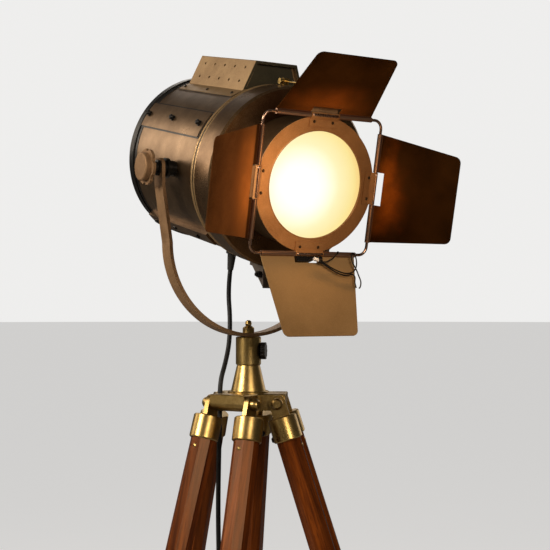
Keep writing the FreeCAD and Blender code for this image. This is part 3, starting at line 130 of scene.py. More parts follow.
def along_cord(out, height):
    """A point over the line that the cord follows from the hub."""
    return CORD_RUN * out + Vector((0, 0, height))


def below_gland(drop):
    """A point straight under the lamp's cord gland."""
    return in_head(0, GLAND_AHEAD, GLAND_END - drop)


UPPER_ROUTE = [
    below_gland(0.0),
    below_gland(32.0),
    Vector((0.000, 0.0555, 1.148)),
    Vector((-0.007, 0.045, 1.110)),
    Vector((-0.020, 0.034, 1.080)),
    along_cord(CORD_HUB_RADIUS, 1.054),
    along_cord(CORD_HUB_RADIUS, 1.030),
]
DROP_ROUTE = [
    (CORD_HUB_RADIUS, 1.030), (CORD_HUB_RADIUS, 1.000), (0.0436, 0.940), (0.0446, 0.870), (0.0432, 0.790),
    (0.0420, 0.700), (0.0418, 0.610), (0.0426, 0.520), (0.0440, 0.430), (0.0456, 0.340), (0.0470, 0.255),
    (0.0484, 0.180), (0.0500, 0.115), (0.0540, 0.065), (0.0640, 0.028), (0.0860, 0.008), (0.1160, FLOOR_LINE),
    (0.1430, FLOOR_LINE),
]
COIL_RADIUS = 0.0385
COIL_TURNS = 3
COIL_PITCH = 0.0079
COIL_RISE = 0.0085
COIL_TUCK = 0.0012
COIL_REACH = 0.150
COIL_STEPS = 14
COIL_NUDGE = 0.02
COIL_END = 2 * COIL_TURNS
CLIMB_TURNS = 0.5


def coil_point(turns):
    """The coil's line after a number of turns: in on the floor, up, and out again."""
    outer = COIL_RADIUS + COIL_PITCH * COIL_TURNS / 2
    inner = COIL_RADIUS - COIL_PITCH * COIL_TURNS / 2
    if turns < COIL_TURNS:
        radius = outer - COIL_PITCH * turns
        height = 0.0
    elif turns < COIL_TURNS + CLIMB_TURNS:
        share = (turns - COIL_TURNS) / CLIMB_TURNS
        radius = inner - COIL_TUCK * math.sin(math.pi * share) ** 2
        height = COIL_RISE * (3 * share ** 2 - 2 * share ** 3)
    else:
        radius = inner + COIL_PITCH * (turns - COIL_TURNS - CLIMB_TURNS)
        height = COIL_RISE
    across = Vector((-CORD_RUN.y, CORD_RUN.x, 0))
    middle = CORD_RUN * COIL_REACH + across * outer + Vector((0, 0, FLOOR_LINE))
    angle = 2 * math.pi * turns
    turn = CORD_RUN * (radius * math.sin(angle)) - across * (radius * math.cos(angle))
    return middle + turn + Vector((0, 0, height))


def coil_route():
    """The coil's points, with a short straight lead to the plug."""
    count = int(COIL_END * COIL_STEPS)
    points = [coil_point(COIL_END * index / count) for index in range(1, count + 1)]
    way = (coil_point(COIL_END + COIL_NUDGE) - coil_point(COIL_END - COIL_NUDGE)).normalized()
    way.z = 0
    return points + [points[-1] + way.normalized() * CORD_DIAMETER]


def cord_curve(name, route):
    """A smooth cord: a NURBS curve with the route's points as its control points."""
    curve = bpy.data.curves.new(name, "CURVE")
    curve.dimensions = "3D"
    spline = curve.splines.new("NURBS")
    spline.points.add(len(route) - 1)
    for point, place in zip(spline.points, route):
        point.co = (*place, 1.0)
    spline.order_u = 3
    spline.use_endpoint_u = True
    curve.resolution_u = 8
    curve.use_fill_caps = True
    piece = bpy.data.objects.new(name, curve)
    bpy.context.scene.collection.objects.link(piece)
    return piece


def line_of(piece):
    """The points of a curve's own smooth line, read before it gets its thickness."""
    mesh = bpy.data.meshes.new_from_object(piece)
    points = [vertex.co.copy() for vertex in mesh.vertices]
    bpy.data.meshes.remove(mesh)
    return points


def length_of(points):
    """The length of the line through the points."""
    return sum((after - before).length for before, after in zip(points, points[1:]))


def add_skin(mesh, rings, closed=False):
    """Joins a row of rings of points by four-sided faces, back to the first ring or with a lid at each end."""
    for index, ring in enumerate(rings if closed else rings[:-1]):
        following = rings[(index + 1) % len(rings)]
        for step in range(len(ring)):
            after = (step + 1) % len(ring)
            mesh.faces.new((ring[step], ring[after], following[after], following[step]))
    if not closed:
        mesh.faces.new(list(reversed(rings[0])))
        mesh.faces.new(rings[-1])


def tube_along(name, points, radius, sides=CORD_SIDES):
    """A closed round tube whose rings stand square to the line through the points."""
    mesh = bmesh.new()
    side = None
    rings = []
    for index, place in enumerate(points):
        before = points[max(index - 1, 0)]
        after = points[min(index + 1, len(points) - 1)]
        way = (after - before).normalized()
        if side is None:
            side = way.orthogonal().normalized()
        side = (side - way * side.dot(way)).normalized()
        other = way.cross(side)
        ring = []
        for step in range(sides):
            angle = 2 * math.pi * step / sides
            ring.append(mesh.verts.new(place + (side * math.cos(angle) + other * math.sin(angle)) * radius))
        rings.append(ring)
    add_skin(mesh, rings)
    bmesh.ops.recalc_face_normals(mesh, faces=mesh.faces)
    data = bpy.data.meshes.new(name)
    mesh.to_mesh(data)
    mesh.free()
    for polygon in data.polygons:
        polygon.use_smooth = len(polygon.vertices) == 4
    piece = bpy.data.objects.new(name, data)
    bpy.context.scene.collection.objects.link(piece)
    return piece


def floor_cord():
    """The hanging stretch and the coil: one curve from the hub to the plug."""
    route = [along_cord(out, height) for out, height in DROP_ROUTE] + coil_route()
    piece = cord_curve("floor_cord", route)
    length = length_of(line_of(piece))
    for point in piece.data.splines[0].points:
        point.radius = CORD_DIAMETER / 2
    piece.data.bevel_depth = 1.0
    piece.data.bevel_resolution = 5
    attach(piece, "base")
    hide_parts("cord_drop", "cord_coil")
    return piece


def upper_cord():
    """The stretch from the lamp to the hub, in two lengths that meet at the split height."""
    guide = cord_curve("upper_guide", UPPER_ROUTE)
    line = line_of(guide)
    bpy.data.objects.remove(guide)
    split = min(range(len(line)), key=lambda index: abs(line[index].z - CORD_SPLIT_HEIGHT))
    pieces = []
    for name, points, bodies in (("lamp_cord", line[:split + 1], ("head", "swivel")),
                                 ("neck_cord", line[split:], ("swivel", "base"))):
        piece = tube_along(name, points, CORD_DIAMETER / 2)
        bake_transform(piece)
        pieces.append(piece)
    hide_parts("cord_upper")
    return pieces


cord_pieces = [floor_cord()] + upper_cord()

# ---------------------------------------------------------------- materials


class Finish:
    """Builds one procedural finish on a shader, from nodes that read the piece's own coordinates."""

    def __init__(self, name, metallic=0.0, roughness=0.5, **sockets):
        self.material = bpy.data.materials.new(name)
        self.material.use_nodes = True
        self.tree = self.material.node_tree
        self.shader = self.tree.nodes["Principled BSDF"]
        self.shader.inputs["Metallic"].default_value = metallic
        self.shader.inputs["Roughness"].default_value = roughness
        for socket, value in sockets.items():
            self.shader.inputs[socket.replace("_", " ")].default_value = value
        self.coordinates = self.node("ShaderNodeTexCoord").outputs["Object"]

    def node(self, kind, **values):
        """Adds a node and sets its own values."""
        made = self.tree.nodes.new(kind)
        for name, value in values.items():
            setattr(made, name, value)
        return made

    def join(self, output, node_input):
        self.tree.links.new(output, node_input)

    def placed(self, scale=(1, 1, 1), turn=(0, 0, 0), shift=(0, 0, 0), source=None):
        """The piece's coordinates, stretched, turned and shifted for a pattern."""
        mapping = self.node("ShaderNodeMapping")
        mapping.inputs["Scale"].default_value = scale
        mapping.inputs["Rotation"].default_value = turn
        mapping.inputs["Location"].default_value = shift
        self.join(source or self.coordinates, mapping.inputs["Vector"])
        return mapping.outputs["Vector"]

    def noise(self, vector, scale, detail=4.0, roughness=0.55, distortion=0.0):
        """A cloudy pattern from 0 to 1."""
        made = self.node("ShaderNodeTexNoise")
        self.join(vector, made.inputs["Vector"])
        made.inputs["Scale"].default_value = scale
        made.inputs["Detail"].default_value = detail
        made.inputs["Roughness"].default_value = roughness
        made.inputs["Distortion"].default_value = distortion
        return made.outputs["Fac"]

    def spread(self, source, low, high, to_low=0.0, to_high=1.0):
        """A value stretched from one range to another."""
        made = self.node("ShaderNodeMapRange")
        self.join(source, made.inputs["Value"])
        made.inputs["From Min"].default_value = low
        made.inputs["From Max"].default_value = high
        made.inputs["To Min"].default_value = to_low
        made.inputs["To Max"].default_value = to_high
        return made.outputs["Result"]

    def blended(self, share, first, second):
        """A colour between two, each given as numbers or as an output."""
        made = self.node("ShaderNodeMix", data_type="RGBA")
        self.join(share, made.inputs["Factor"])
        for value, socket in ((first, made.inputs["A"]), (second, made.inputs["B"])):
            if isinstance(value, tuple):
                socket.default_value = (*value, 1.0)
            else:
                self.join(value, socket)
        return made.outputs["Result"]

    def combined(self, first, second, operation="ADD"):
        """Two values added, or put together by another operation."""
        made = self.node("ShaderNodeMath", operation=operation)
        for value, socket in ((first, made.inputs[0]), (second, made.inputs[1])):
            if isinstance(value, (int, float)):
                socket.default_value = value
            else:
                self.join(value, socket)
        return made.outputs["Value"]

    def vector_step(self, operation, first, second=None):
        """The node of one step of vector arithmetic."""
        made = self.node("ShaderNodeVectorMath", operation=operation)
        self.join(first, made.inputs[0])
        if second is not None:
            made.inputs[1].default_value = second
        return made

    def colour(self, output):
        self.join(output, self.shader.inputs["Base Color"])

    def rough(self, output):
        self.join(output, self.shader.inputs["Roughness"])

    def relief(self, height, distance, strength=1.0):
        """Fine unevenness of the surface."""
        made = self.node("ShaderNodeBump")
        made.inputs["Strength"].default_value = strength
        made.inputs["Distance"].default_value = distance
        self.join(height, made.inputs["Height"])
        self.join(made.outputs["Normal"], self.shader.inputs["Normal"])


FADE_FROM, FADE_TO = -0.085, 0.085
RUBBED_SHIFT = (0.31, 0.17, 0.53)
FINE_GRAIN = 850.0


def aged_metal(name, deep, middle, light, roughness, metallic=1.0, grain=0.35, spots=0.4, shine=0.5, fade=0.0):
    """Handled metal: cloudy patina, lighter rubbed patches, fine speckle and uneven polish.

    With a fade it darkens from the lamp's left to its right, as the lens ring does: painted shade, for light that
    falls from the lamp's left.
    """
    finish = Finish(name, metallic, roughness, Specular_IOR_Level=shine)
    place = finish.placed()
    cloud = finish.spread(finish.noise(place, 13.0, 5.0, 0.6), 0.34, 0.66)
    rubbed = finish.spread(finish.noise(finish.placed(shift=RUBBED_SHIFT), 38.0, 5.0, 0.65), 0.50, 0.74)
    fine = finish.noise(place, FINE_GRAIN, 3.0, 0.6)
    speckle = finish.spread(fine, 0.42, 0.66)
    pits = finish.spread(finish.noise(place, 330.0, 3.0, 0.6), 0.60, 0.72)
    body = finish.blended(cloud, deep, middle)
    body = finish.blended(finish.combined(rubbed, 0.30, "MULTIPLY"), body, light)
    body = finish.blended(finish.combined(speckle, grain, "MULTIPLY"), body, light)
    body = finish.blended(finish.combined(pits, spots, "MULTIPLY"), body, deep)
    if fade:
        across = finish.node("ShaderNodeSeparateXYZ")
        finish.join(finish.coordinates, across.inputs[0])
        # Painted shade: darker towards the lamp's right, away from the light.
        painted_side_shade = finish.spread(across.outputs["X"], FADE_FROM, FADE_TO, 0.0, fade)
        body = finish.blended(painted_side_shade, body, tuple(0.35 * value for value in deep))
    finish.colour(body)
    uneven = finish.combined(finish.combined(cloud, -0.10, "MULTIPLY"), finish.combined(speckle, 0.10, "MULTIPLY"))
    finish.rough(finish.combined(uneven, roughness))
    finish.relief(fine, 0.00010, 0.45)
    return finish.material


def varnished_wood(name, azimuth):
    """Reddish hardwood under varnish, its grain along the leg."""
    finish = Finish(name, 0.0, 0.36, Specular_IOR_Level=0.17, Specular_Tint=(1.0, 0.60, 0.34, 1.0))
    lay = Matrix.Rotation(math.radians(LEG_SPLAY), 3, "Y") @ Matrix.Rotation(math.radians(90 - azimuth), 3, "Z")
    along = finish.placed((1, 1, 1), tuple(lay.to_euler()))
    figure = finish.noise(finish.placed((9, 9, 0.55), source=along), 6.0, 6.0, 0.62, 0.6)
    pores = finish.noise(finish.placed((1, 1, 0.03), source=along), 900.0, 2.0, 0.5)
    streak = finish.noise(finish.placed((1, 1, 0.04), source=along), 190.0, 4.0, 0.6)
    tone = finish.blended(finish.spread(figure, 0.30, 0.70), (0.042, 0.0075, 0.0012), (0.215, 0.050, 0.0070))
    tone = finish.blended(finish.spread(streak, 0.42, 0.72, 0.0, 0.75), tone, (0.030, 0.007, 0.003))
    tone = finish.blended(finish.spread(pores, 0.58, 0.72, 0.0, 0.55), tone, (0.016, 0.005, 0.003))
    finish.colour(tone)
    finish.rough(finish.spread(figure, 0.3, 0.7, 0.17, 0.27))
    finish.relief(streak, 0.0002, 0.35)
    return finish.material


def black_moulding(name, colour, roughness, grain=0.00008):
    """Moulded black plastic or rubber, slightly cloudy."""
    finish = Finish(name, 0.0, roughness, Specular_IOR_Level=0.25)
    place = finish.placed()
    cloud = finish.spread(finish.noise(place, 40.0, 3.0), 0.3, 0.7)
    finish.colour(finish.blended(cloud, colour, tuple(1.9 * value + 0.004 for value in colour)))
    finish.rough(finish.spread(cloud, 0.0, 1.0, roughness - 0.06, roughness + 0.08))
    finish.relief(finish.noise(place, 1400.0, 2.0), grain, 0.4)
    return finish.material


LENS_MIDDLE = in_head(0, 188, 0)
HOT_SPOT = in_head(-22, 181, -4)
LENS_STRENGTH = 1.5
LENS_REACH = 0.102
# Where the rolled edge and the strip of painted shade beside it fade out, from the wire, and where a leaf's painted
# glow of the lens is full, from the lens. In metres, as nodes read them.
ROLL_EDGE = (0.0037, 0.0043)
STRIP_EDGE = (0.0105, 0.0135)
FULL_GLOW_REACH = 0.096


def leaf_sheet(side, dark, cool, glow_tone, reach, strip=0.0):
    """Brown coated sheet, warmer where it sits near the hot lens as a painted glow of the lens's light, with its
    rolled edge rubbed to copper.

    The painted glow ends at the reach from the lens; the strip says how dark the painted shade beside its hinge is.
    """
    finish = Finish("leaf_sheet_" + side, 0.0, 0.60, Specular_IOR_Level=0.0)
    place = finish.placed()
    start, end = on_wire(side, WIRE_HALF), on_wire(side, -WIRE_HALF)
    near = finish.vector_step("DISTANCE", finish.coordinates, LENS_MIDDLE).outputs["Value"]
    offset = finish.vector_step("SUBTRACT", finish.coordinates, start).outputs["Vector"]
    square = finish.vector_step("CROSS_PRODUCT", offset, (end - start).normalized()).outputs["Vector"]
    away = finish.vector_step("LENGTH", square).outputs["Value"]
    rolled = finish.spread(away, *ROLL_EDGE, 1.0, 0.0)
    beside = finish.spread(away, *STRIP_EDGE, strip, 0.0)
    cloud = finish.spread(finish.noise(place, 17.0, 5.0, 0.6), 0.34, 0.66)
    fine = finish.noise(place, FINE_GRAIN, 3.0, 0.6)
    uneven = finish.combined(near, finish.combined(cloud, 0.018, "MULTIPLY"))
    # Painted light: the lens's glow on the sheet, full near the lens and gone at the reach.
    painted_lens_glow = finish.combined(finish.spread(uneven, FULL_GLOW_REACH, reach, 1.0, 0.0), 1.8, "POWER")
    body = finish.blended(painted_lens_glow, finish.blended(cloud, dark, cool), glow_tone)
    grain = finish.combined(finish.spread(fine, 0.45, 0.68), 0.25, "MULTIPLY")
    body = finish.blended(grain, body, tuple(1.6 * value for value in cool))
    # Painted shade: a dark strip beside the hinge.
    body = finish.blended(beside, body, (0.006, 0.0025, 0.001))
    finish.colour(finish.blended(rolled, body, (0.30, 0.165, 0.10)))
    finish.join(finish.combined(rolled, 0.9, "MULTIPLY"), finish.shader.inputs["Metallic"])
    finish.rough(finish.spread(rolled, 0.0, 1.0, 0.60, 0.28))
    finish.relief(fine, 0.00010, 0.45)
    return finish.material


def lit_lens(name):
    """Frosted glass with the lamp alight behind it: white-hot beside the middle, amber at the rim."""
    finish = Finish(name, 0.0, 0.35, Coat_Weight=0.2, Coat_Roughness=0.2)
    near = finish.vector_step("DISTANCE", finish.coordinates, HOT_SPOT).outputs["Value"]
    ramp = finish.node("ShaderNodeValToRGB")
    stops = ((0.0, (1.45, 1.40, 1.25)), (0.36, (1.12, 1.08, 0.90)), (0.58, (0.96, 0.88, 0.50)),
             (0.84, (0.92, 0.76, 0.30)), (1.0, (0.80, 0.48, 0.13)))
    while len(ramp.color_ramp.elements) < len(stops):
        ramp.color_ramp.elements.new(0.5)
    for element, (place, colour) in zip(ramp.color_ramp.elements, stops):
        element.position = place
        element.color = (*[value / LENS_STRENGTH for value in colour], 1.0)
    finish.join(finish.spread(near, 0.0, LENS_REACH), ramp.inputs["Fac"])
    mottled = finish.spread(finish.noise(finish.placed(), 60.0, 5.0, 0.65), 0.3, 0.7)
    glow = finish.blended(finish.combined(mottled, 0.06, "MULTIPLY"), ramp.outputs["Color"], (0.40, 0.32, 0.16))
    finish.join(glow, finish.shader.inputs["Emission Color"])
    finish.shader.inputs["Emission Strength"].default_value = LENS_STRENGTH
    finish.shader.inputs["Base Color"].default_value = (0.10, 0.08, 0.05, 1.0)
    finish.relief(finish.noise(finish.placed(), 900.0, 2.0), 0.0003, 0.5)
    return finish.material


def opal_glass(name):
    """Milky glass of the bulb."""
    finish = Finish(name, 0.0, 0.2)
    cloud = finish.noise(finish.placed(), 60.0, 2.0)
    finish.colour(finish.blended(cloud, (0.85, 0.80, 0.68), (0.95, 0.90, 0.80)))
    return finish.material


finishes = {
    "bronze_shell": aged_metal("dark_bronze_shell", (0.110, 0.063, 0.030), (0.22, 0.136, 0.070), (0.36, 0.237, 0.132),
                               0.36, metallic=0.95, grain=0.28, spots=0.35),
    "bell_bronze": aged_metal("bell_bronze", (0.080, 0.041, 0.016), (0.19, 0.108, 0.050), (0.34, 0.215, 0.110),
                              0.35, metallic=0.95, grain=0.28, spots=0.35),
    "dark_bronze": aged_metal("dark_bronze", (0.035, 0.019, 0.008), (0.070, 0.038, 0.016), (0.12, 0.070, 0.033),
                              0.44, metallic=0.7, grain=0.30, spots=0.30, shine=0.2),
    "bronze_bar": aged_metal("bronze_bar", (0.14, 0.074, 0.034), (0.27, 0.155, 0.074), (0.42, 0.26, 0.135),
                             0.55, metallic=0.45, grain=0.35, spots=0.4, shine=0.1),
    "aged_brass": aged_metal("antique_brass", (0.20, 0.120, 0.036), (0.44, 0.290, 0.092), (0.68, 0.49, 0.20),
                             0.34, grain=0.22, spots=0.30),
    "vent_brass": aged_metal("tan_brass", (0.19, 0.110, 0.046), (0.30, 0.183, 0.080), (0.46, 0.31, 0.150),
                             0.46, metallic=0.70, grain=0.45, spots=0.45),
    "dark_olive": aged_metal("dark_olive", (0.030, 0.024, 0.012), (0.056, 0.045, 0.024), (0.10, 0.082, 0.046),
                             0.50, metallic=0.3, grain=0.25, spots=0.3, shine=0.2),
    "latch_grey": aged_metal("latch_grey", (0.035, 0.026, 0.020), (0.085, 0.066, 0.052), (0.15, 0.12, 0.095),
                             0.50, metallic=0.5),
    "black_steel": aged_metal("blackened_steel", (0.010, 0.009, 0.008), (0.026, 0.023, 0.020), (0.07, 0.06, 0.05),
                              0.34, metallic=0.8, grain=0.2, spots=0.2),
    "copper_brown": aged_metal("copper_brown", (0.15, 0.066, 0.025), (0.27, 0.130, 0.055), (0.42, 0.225, 0.11),
                               0.44, metallic=0.60, grain=0.30, spots=0.30, shine=0.2),
    # The lens ring's fade is painted shade, darker on the lamp's right.
    "ring_copper": aged_metal("ring_copper", (0.34, 0.140, 0.042), (0.60, 0.258, 0.080), (0.78, 0.40, 0.155),
                              0.48, metallic=0.25, grain=0.30, spots=0.30, shine=0.15, fade=0.82),
    "copper_wire": aged_metal("copper_wire", (0.16, 0.080, 0.045), (0.34, 0.19, 0.12), (0.62, 0.42, 0.30), 0.26),
    "bright_nickel": aged_metal("bright_nickel", (0.70, 0.69, 0.66), (0.85, 0.84, 0.82), (0.93, 0.92, 0.90),
                                0.30, metallic=0.3),
    "bright_aluminium": aged_metal("spun_aluminium", (0.50, 0.49, 0.46), (0.70, 0.69, 0.66), (0.85, 0.84, 0.81),
                                   0.22),
    # The four leaves are one sheet; their different dark and cool tones are painted light and shade, the bottom leaf
    # painted lit and the right leaf painted in shade.
    "leaf_right": leaf_sheet("right", (0.0050, 0.0020, 0.0005), (0.0110, 0.0043, 0.0010), (0.215, 0.050, 0.0048),
                             reach=0.140),
    "leaf_top": leaf_sheet("top", (0.0120, 0.0046, 0.0011), (0.0260, 0.0100, 0.0022), (0.235, 0.062, 0.0100),
                           reach=0.154),
    "leaf_left": leaf_sheet("left", (0.048, 0.018, 0.0055), (0.098, 0.037, 0.0110), (0.62, 0.200, 0.040),
                            reach=0.172, strip=0.85),
    "leaf_bottom": leaf_sheet("bottom", (0.150, 0.086, 0.034), (0.218, 0.130, 0.054), (0.270, 0.165, 0.072),
                              reach=0.260),
    "frosted_lens": lit_lens("lit_lens"),
    "bulb_glass": opal_glass("opal_glass"),
    "holder_black": black_moulding("holder_black", (0.012, 0.012, 0.012), 0.22),
    "black_rubber": black_moulding("black_rubber", (0.015, 0.014, 0.013), 0.72, 0.0002),
    "cord_sheath": black_moulding("cord_sheath", (0.004, 0.0035, 0.003), 0.50),
    "plug_black": black_moulding("plug_black", (0.012, 0.012, 0.013), 0.40),
}
# Pieces whose finish isn't the one of their slot.
OWN_FINISH = {
    "front_bell": "bell_bronze", "front_nose": "dark_bronze", "clip_rivets": "dark_bronze",
    "side_plates": "bronze_shell", "tilt_knob_left": "bronze_bar", "tilt_knob_right": "bronze_bar",
    "vent_box": "vent_brass", "bead_ring": "vent_brass", "latch_bracket": "latch_grey",
    "lens_ring": "ring_copper", "wire_clips": "ring_copper",
    "leaf_right": "leaf_right", "leaf_top": "leaf_top", "leaf_left": "leaf_left", "leaf_bottom": "leaf_bottom",
}
woods = {name: varnished_wood("varnished_wood_" + name, azimuth) for name, azimuth in LEG_AZIMUTHS.items()}


def finish_cad_nodes():
    """Gives each piece of the part its finish; each leg has its own wood, with the grain along that leg."""
    slots = {entry["node"]: entry["material_slot"] for entry in frame["record"]["subparts"]}
    for node, piece in frame["nodes"].items():
        slot = slots[node]
        material = woods[node.split("_")[1]] if slot == "varnished_wood" else finishes[OWN_FINISH.get(node, slot)]
        for entry in piece.material_slots:
            entry.material = material


finish_cad_nodes()
for cord_piece in cord_pieces:
    cord_piece.data.materials.append(finishes["cord_sheath"])

# ---------------------------------------------------------------- fine pieces
# Angles round the drum in degrees from the lamp's right, spans along its axis, and the radius where a screw sits.
PLATE_ANGLE = 150.25
PLATE_SPAN = (-138.5, 50.0)
PLATE_SEAT = 123.6
RAIL_ANGLE = -51.0
RAIL_SPAN = (-138.5, 55.0)
RAIL_SEAT = 128.5
VENT_ANGLE = 62.5
VENT_SPAN = (-121.0, 47.0)
VENT_SCREW_ANGLE = 60.67
VENT_SEAT = 123.5
# Thickness of the dark sheets of painted shade round the plates and flanges.
EDGE_SHADE_SHEET = 0.7


def on_drum(radius, angle, ahead):
    """A point round the drum's axis, its angle counted from the lamp's right towards its top."""
    turn = math.radians(angle)
    return in_head(radius * math.cos(turn), ahead, radius * math.sin(turn))


SMOOTH_ANGLE = 35.0
TIP_RADIUS = 0.00001


def select_only(piece):
    """Deselects all and makes one piece the active one."""
    bpy.ops.object.select_all(action="DESELECT")
    piece.select_set(True)
    bpy.context.view_layer.objects.active = piece


def finished_piece(name, mesh, body, finish):
    """Turns a mesh under construction into a piece that moves with a body."""
    bmesh.ops.recalc_face_normals(mesh, faces=mesh.faces)
    data = bpy.data.meshes.new(name)
    mesh.to_mesh(data)
    mesh.free()
    piece = bpy.data.objects.new(name, data)
    bpy.context.scene.collection.objects.link(piece)
    select_only(piece)
    bpy.ops.object.shade_smooth_by_angle(angle=math.radians(SMOOTH_ANGLE))
    data.materials.append(finishes[finish])
    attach(piece, body)
    return piece


def add_turned(mesh, base, axis, profile, steps=28):
    """Adds a closed turned solid: (radius, height) pairs in metres, from its base along the axis.

    A radius of 0 becomes a tiny one, because each end is closed by a lid.
    """
    side = axis.orthogonal().normalized()
    other = axis.cross(side)
    rings = []
    for radius, height in profile:
        ring = []
        for step in range(steps):
            angle = 2 * math.pi * step / steps
            way = side * math.cos(angle) + other * math.sin(angle)
            ring.append(mesh.verts.new(base + axis * height + way * max(radius, TIP_RADIUS)))
        rings.append(ring)
    add_skin(mesh, rings)


def add_block(mesh, centre, ways, halves):
    """Adds a box from its centre, three directions and three half sizes."""
    corners = []
    for x in (-1, 1):
        for y in (-1, 1):
            for z in (-1, 1):
                corners.append(mesh.verts.new(centre + ways[0] * (x * halves[0]) + ways[1] * (y * halves[1])
                                              + ways[2] * (z * halves[2])))
    for face in ((0, 1, 3, 2), (4, 6, 7, 5), (0, 4, 5, 1), (2, 3, 7, 6), (0, 2, 6, 4), (1, 5, 7, 3)):
        mesh.faces.new([corners[index] for index in face])


def add_curved_patch(mesh, inner, outer, angles, span, steps=14):
    """Adds a closed curved plate on the drum between two angles."""
    rings = []
    for step in range(steps + 1):
        angle = angles[0] + (angles[1] - angles[0]) * step / steps
        rings.append([mesh.verts.new(on_drum(radius, angle, ahead)) for radius, ahead in (
            (inner, span[0]), (outer, span[0]), (outer, span[1]), (inner, span[1]))])
    add_skin(mesh, rings)


SCREW_SHARES = (0.05, 0.48, 0.93)
RAIL_SCREW_SHARES = (0.07, 0.41, 0.80)


def part_way(span, share):
    """The place at a share of a span."""
    return span[0] + share * (span[1] - span[0])


def screw_places():
    """Seat radius, angle, position and kind of every screw on the drum's right-hand half."""
    places = []
    for share, rail_share in zip(SCREW_SHARES, RAIL_SCREW_SHARES):
        places.append((PLATE_SEAT, 180 - PLATE_ANGLE, part_way(PLATE_SPAN, share), "tall"))
        places.append((RAIL_SEAT, RAIL_ANGLE, part_way(RAIL_SPAN, rail_share), "low"))
        places.append((VENT_SEAT, VENT_SCREW_ANGLE, part_way(VENT_SPAN, share), "small"))
    return places


SCREW_PROFILES = {
    "tall": ((0.0044, 0.0), (0.0044, 0.0011), (0.0030, 0.0013), (0.0030, 0.0027), (0.0038, 0.0030), (0.0038, 0.0048),
             (0.0032, 0.0058), (0.0018, 0.0063), (0.0, 0.0064)),
    "low": ((0.0038, 0.0), (0.0038, 0.0010), (0.0033, 0.0020), (0.0021, 0.0027), (0.0, 0.0030)),
    "small": ((0.0025, 0.0), (0.0025, 0.0006), (0.0020, 0.0013), (0.0011, 0.0018), (0.0, 0.0020)),
}
SLOT_HALVES = (0.006, 0.0005, 0.0010)


def drum_screws():
    """Slotted screws of the side plates, the rails and the vent's flanges."""
    heads = bmesh.new()
    slots = bmesh.new()
    forward = head_ways()[1]
    for seat, angle, ahead, kind in screw_places():
        for side in (angle, 180 - angle):
            base = on_drum(seat, side, ahead)
            out = (on_drum(seat + 1, side, ahead) - base).normalized()
            profile = SCREW_PROFILES[kind]
            add_turned(heads, base, out, profile)
            # Each slot lies a little differently, by its place along the drum.
            along = (forward + out.cross(forward) * (0.4 + 0.02 * ahead)).normalized()
            top = base + out * profile[-1][1]
            add_block(slots, top, (along, out.cross(along), out), SLOT_HALVES)
    piece = finished_piece("slotted_screws", heads, "head", "black_steel")
    cutter = finished_piece("slot_cutter", slots, "head", "black_steel")
    cut = piece.modifiers.new("slots", "BOOLEAN")
    cut.operation = "DIFFERENCE"
    cut.object = cutter
    select_only(piece)
    bpy.ops.object.modifier_apply(modifier=cut.name)
    bpy.data.objects.remove(cutter)
    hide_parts("body_screws")


# Half angle of each dark sheet of painted edge shade, and how far it passes its span at the rear and at the front.
PLATE_EDGE = (10.3, 0.0, 2.4)
VENT_EDGE = (6.4, 1.5, 1.5)


def plate_edges():
    """Dark sheet that shows as a thin line round the side plates and the vent's flanges: painted shade at their
    raised edges.
    """
    mesh = bmesh.new()
    for angle, span, (half, behind, before) in ((PLATE_ANGLE, PLATE_SPAN, PLATE_EDGE),
                                                (180 - VENT_ANGLE, VENT_SPAN, VENT_EDGE)):
        for middle in (angle, 180 - angle):
            add_curved_patch(mesh, DRUM_RADIUS, DRUM_RADIUS + EDGE_SHADE_SHEET, (middle - half, middle + half),
                             (span[0] - behind, span[1] + before))
    finished_piece("plate_edge_shade", mesh, "head", "black_steel")


def add_hoop(mesh, section, steps=96):
    """Adds a ring round the lamp's axis from a closed section of (radius, ahead) pairs in mm."""
    add_skin(mesh, [[mesh.verts.new(on_drum(radius, 360.0 * step / steps, ahead)) for radius, ahead in section]
                    for step in range(steps)], closed=True)


# Inner and outer radius, rear and front of each dark band.
# The first band is the black ring in the rear rim; the others are painted shade in the grooves beside the beads.
BANDS = ((121.9, 122.5, -141.0, -130.5), (123.3, 125.2, 65.3, 68.8), (121.9, 126.2, 74.3, 75.2),
         (121.9, 123.2, 57.2, 59.2))


def drum_bands():
    """Black band inside the rear rim, and dark lines beside the two beads, painted shade in the grooves round them.
    """
    mesh = bmesh.new()
    for low, high, rear, front in BANDS:
        add_hoop(mesh, ((low, rear), (high, rear), (high, front), (low, front)))
    finished_piece("drum_bands", mesh, "head", "black_steel")


def mirrored(low, high):
    """The four corners of an upright shape from its lower and upper right corner."""
    return ((-low[0], low[1]), low, high, (-high[0], high[1]))


VENT_FLOOR_SPAN = (40.05, 40.7)
VENT_LIP_SPAN = (46.9, 47.3)
VENT_FLOOR = mirrored((41.5, 118.0), (28.0, 151.4))
VENT_LIP_OUTER = mirrored((49.4, 114.6), (33.4, 155.6))
VENT_LIP_INNER = mirrored((45.4, 117.8), (30.6, 152.2))


def vent_recess_shade():
    """Dark panel on the floor of the recess in the vent's front: painted shade in the recess."""
    mesh = bmesh.new()
    add_skin(mesh, [[mesh.verts.new(in_head(x, ahead, up)) for x, up in VENT_FLOOR] for ahead in VENT_FLOOR_SPAN])
    finished_piece("vent_recess_shade", mesh, "head", "dark_olive")


def vent_front_edge():
    """Thin dark facing on the lip round the recess."""
    mesh = bmesh.new()
    rear, front = VENT_LIP_SPAN
    add_skin(mesh, [[mesh.verts.new(in_head(x, ahead, up)) for x, up in corners]
                    for corners, ahead in ((VENT_LIP_OUTER, rear), (VENT_LIP_OUTER, front),
                                           (VENT_LIP_INNER, front), (VENT_LIP_INNER, rear))], closed=True)
    finished_piece("vent_front_edge", mesh, "head", "dark_olive")


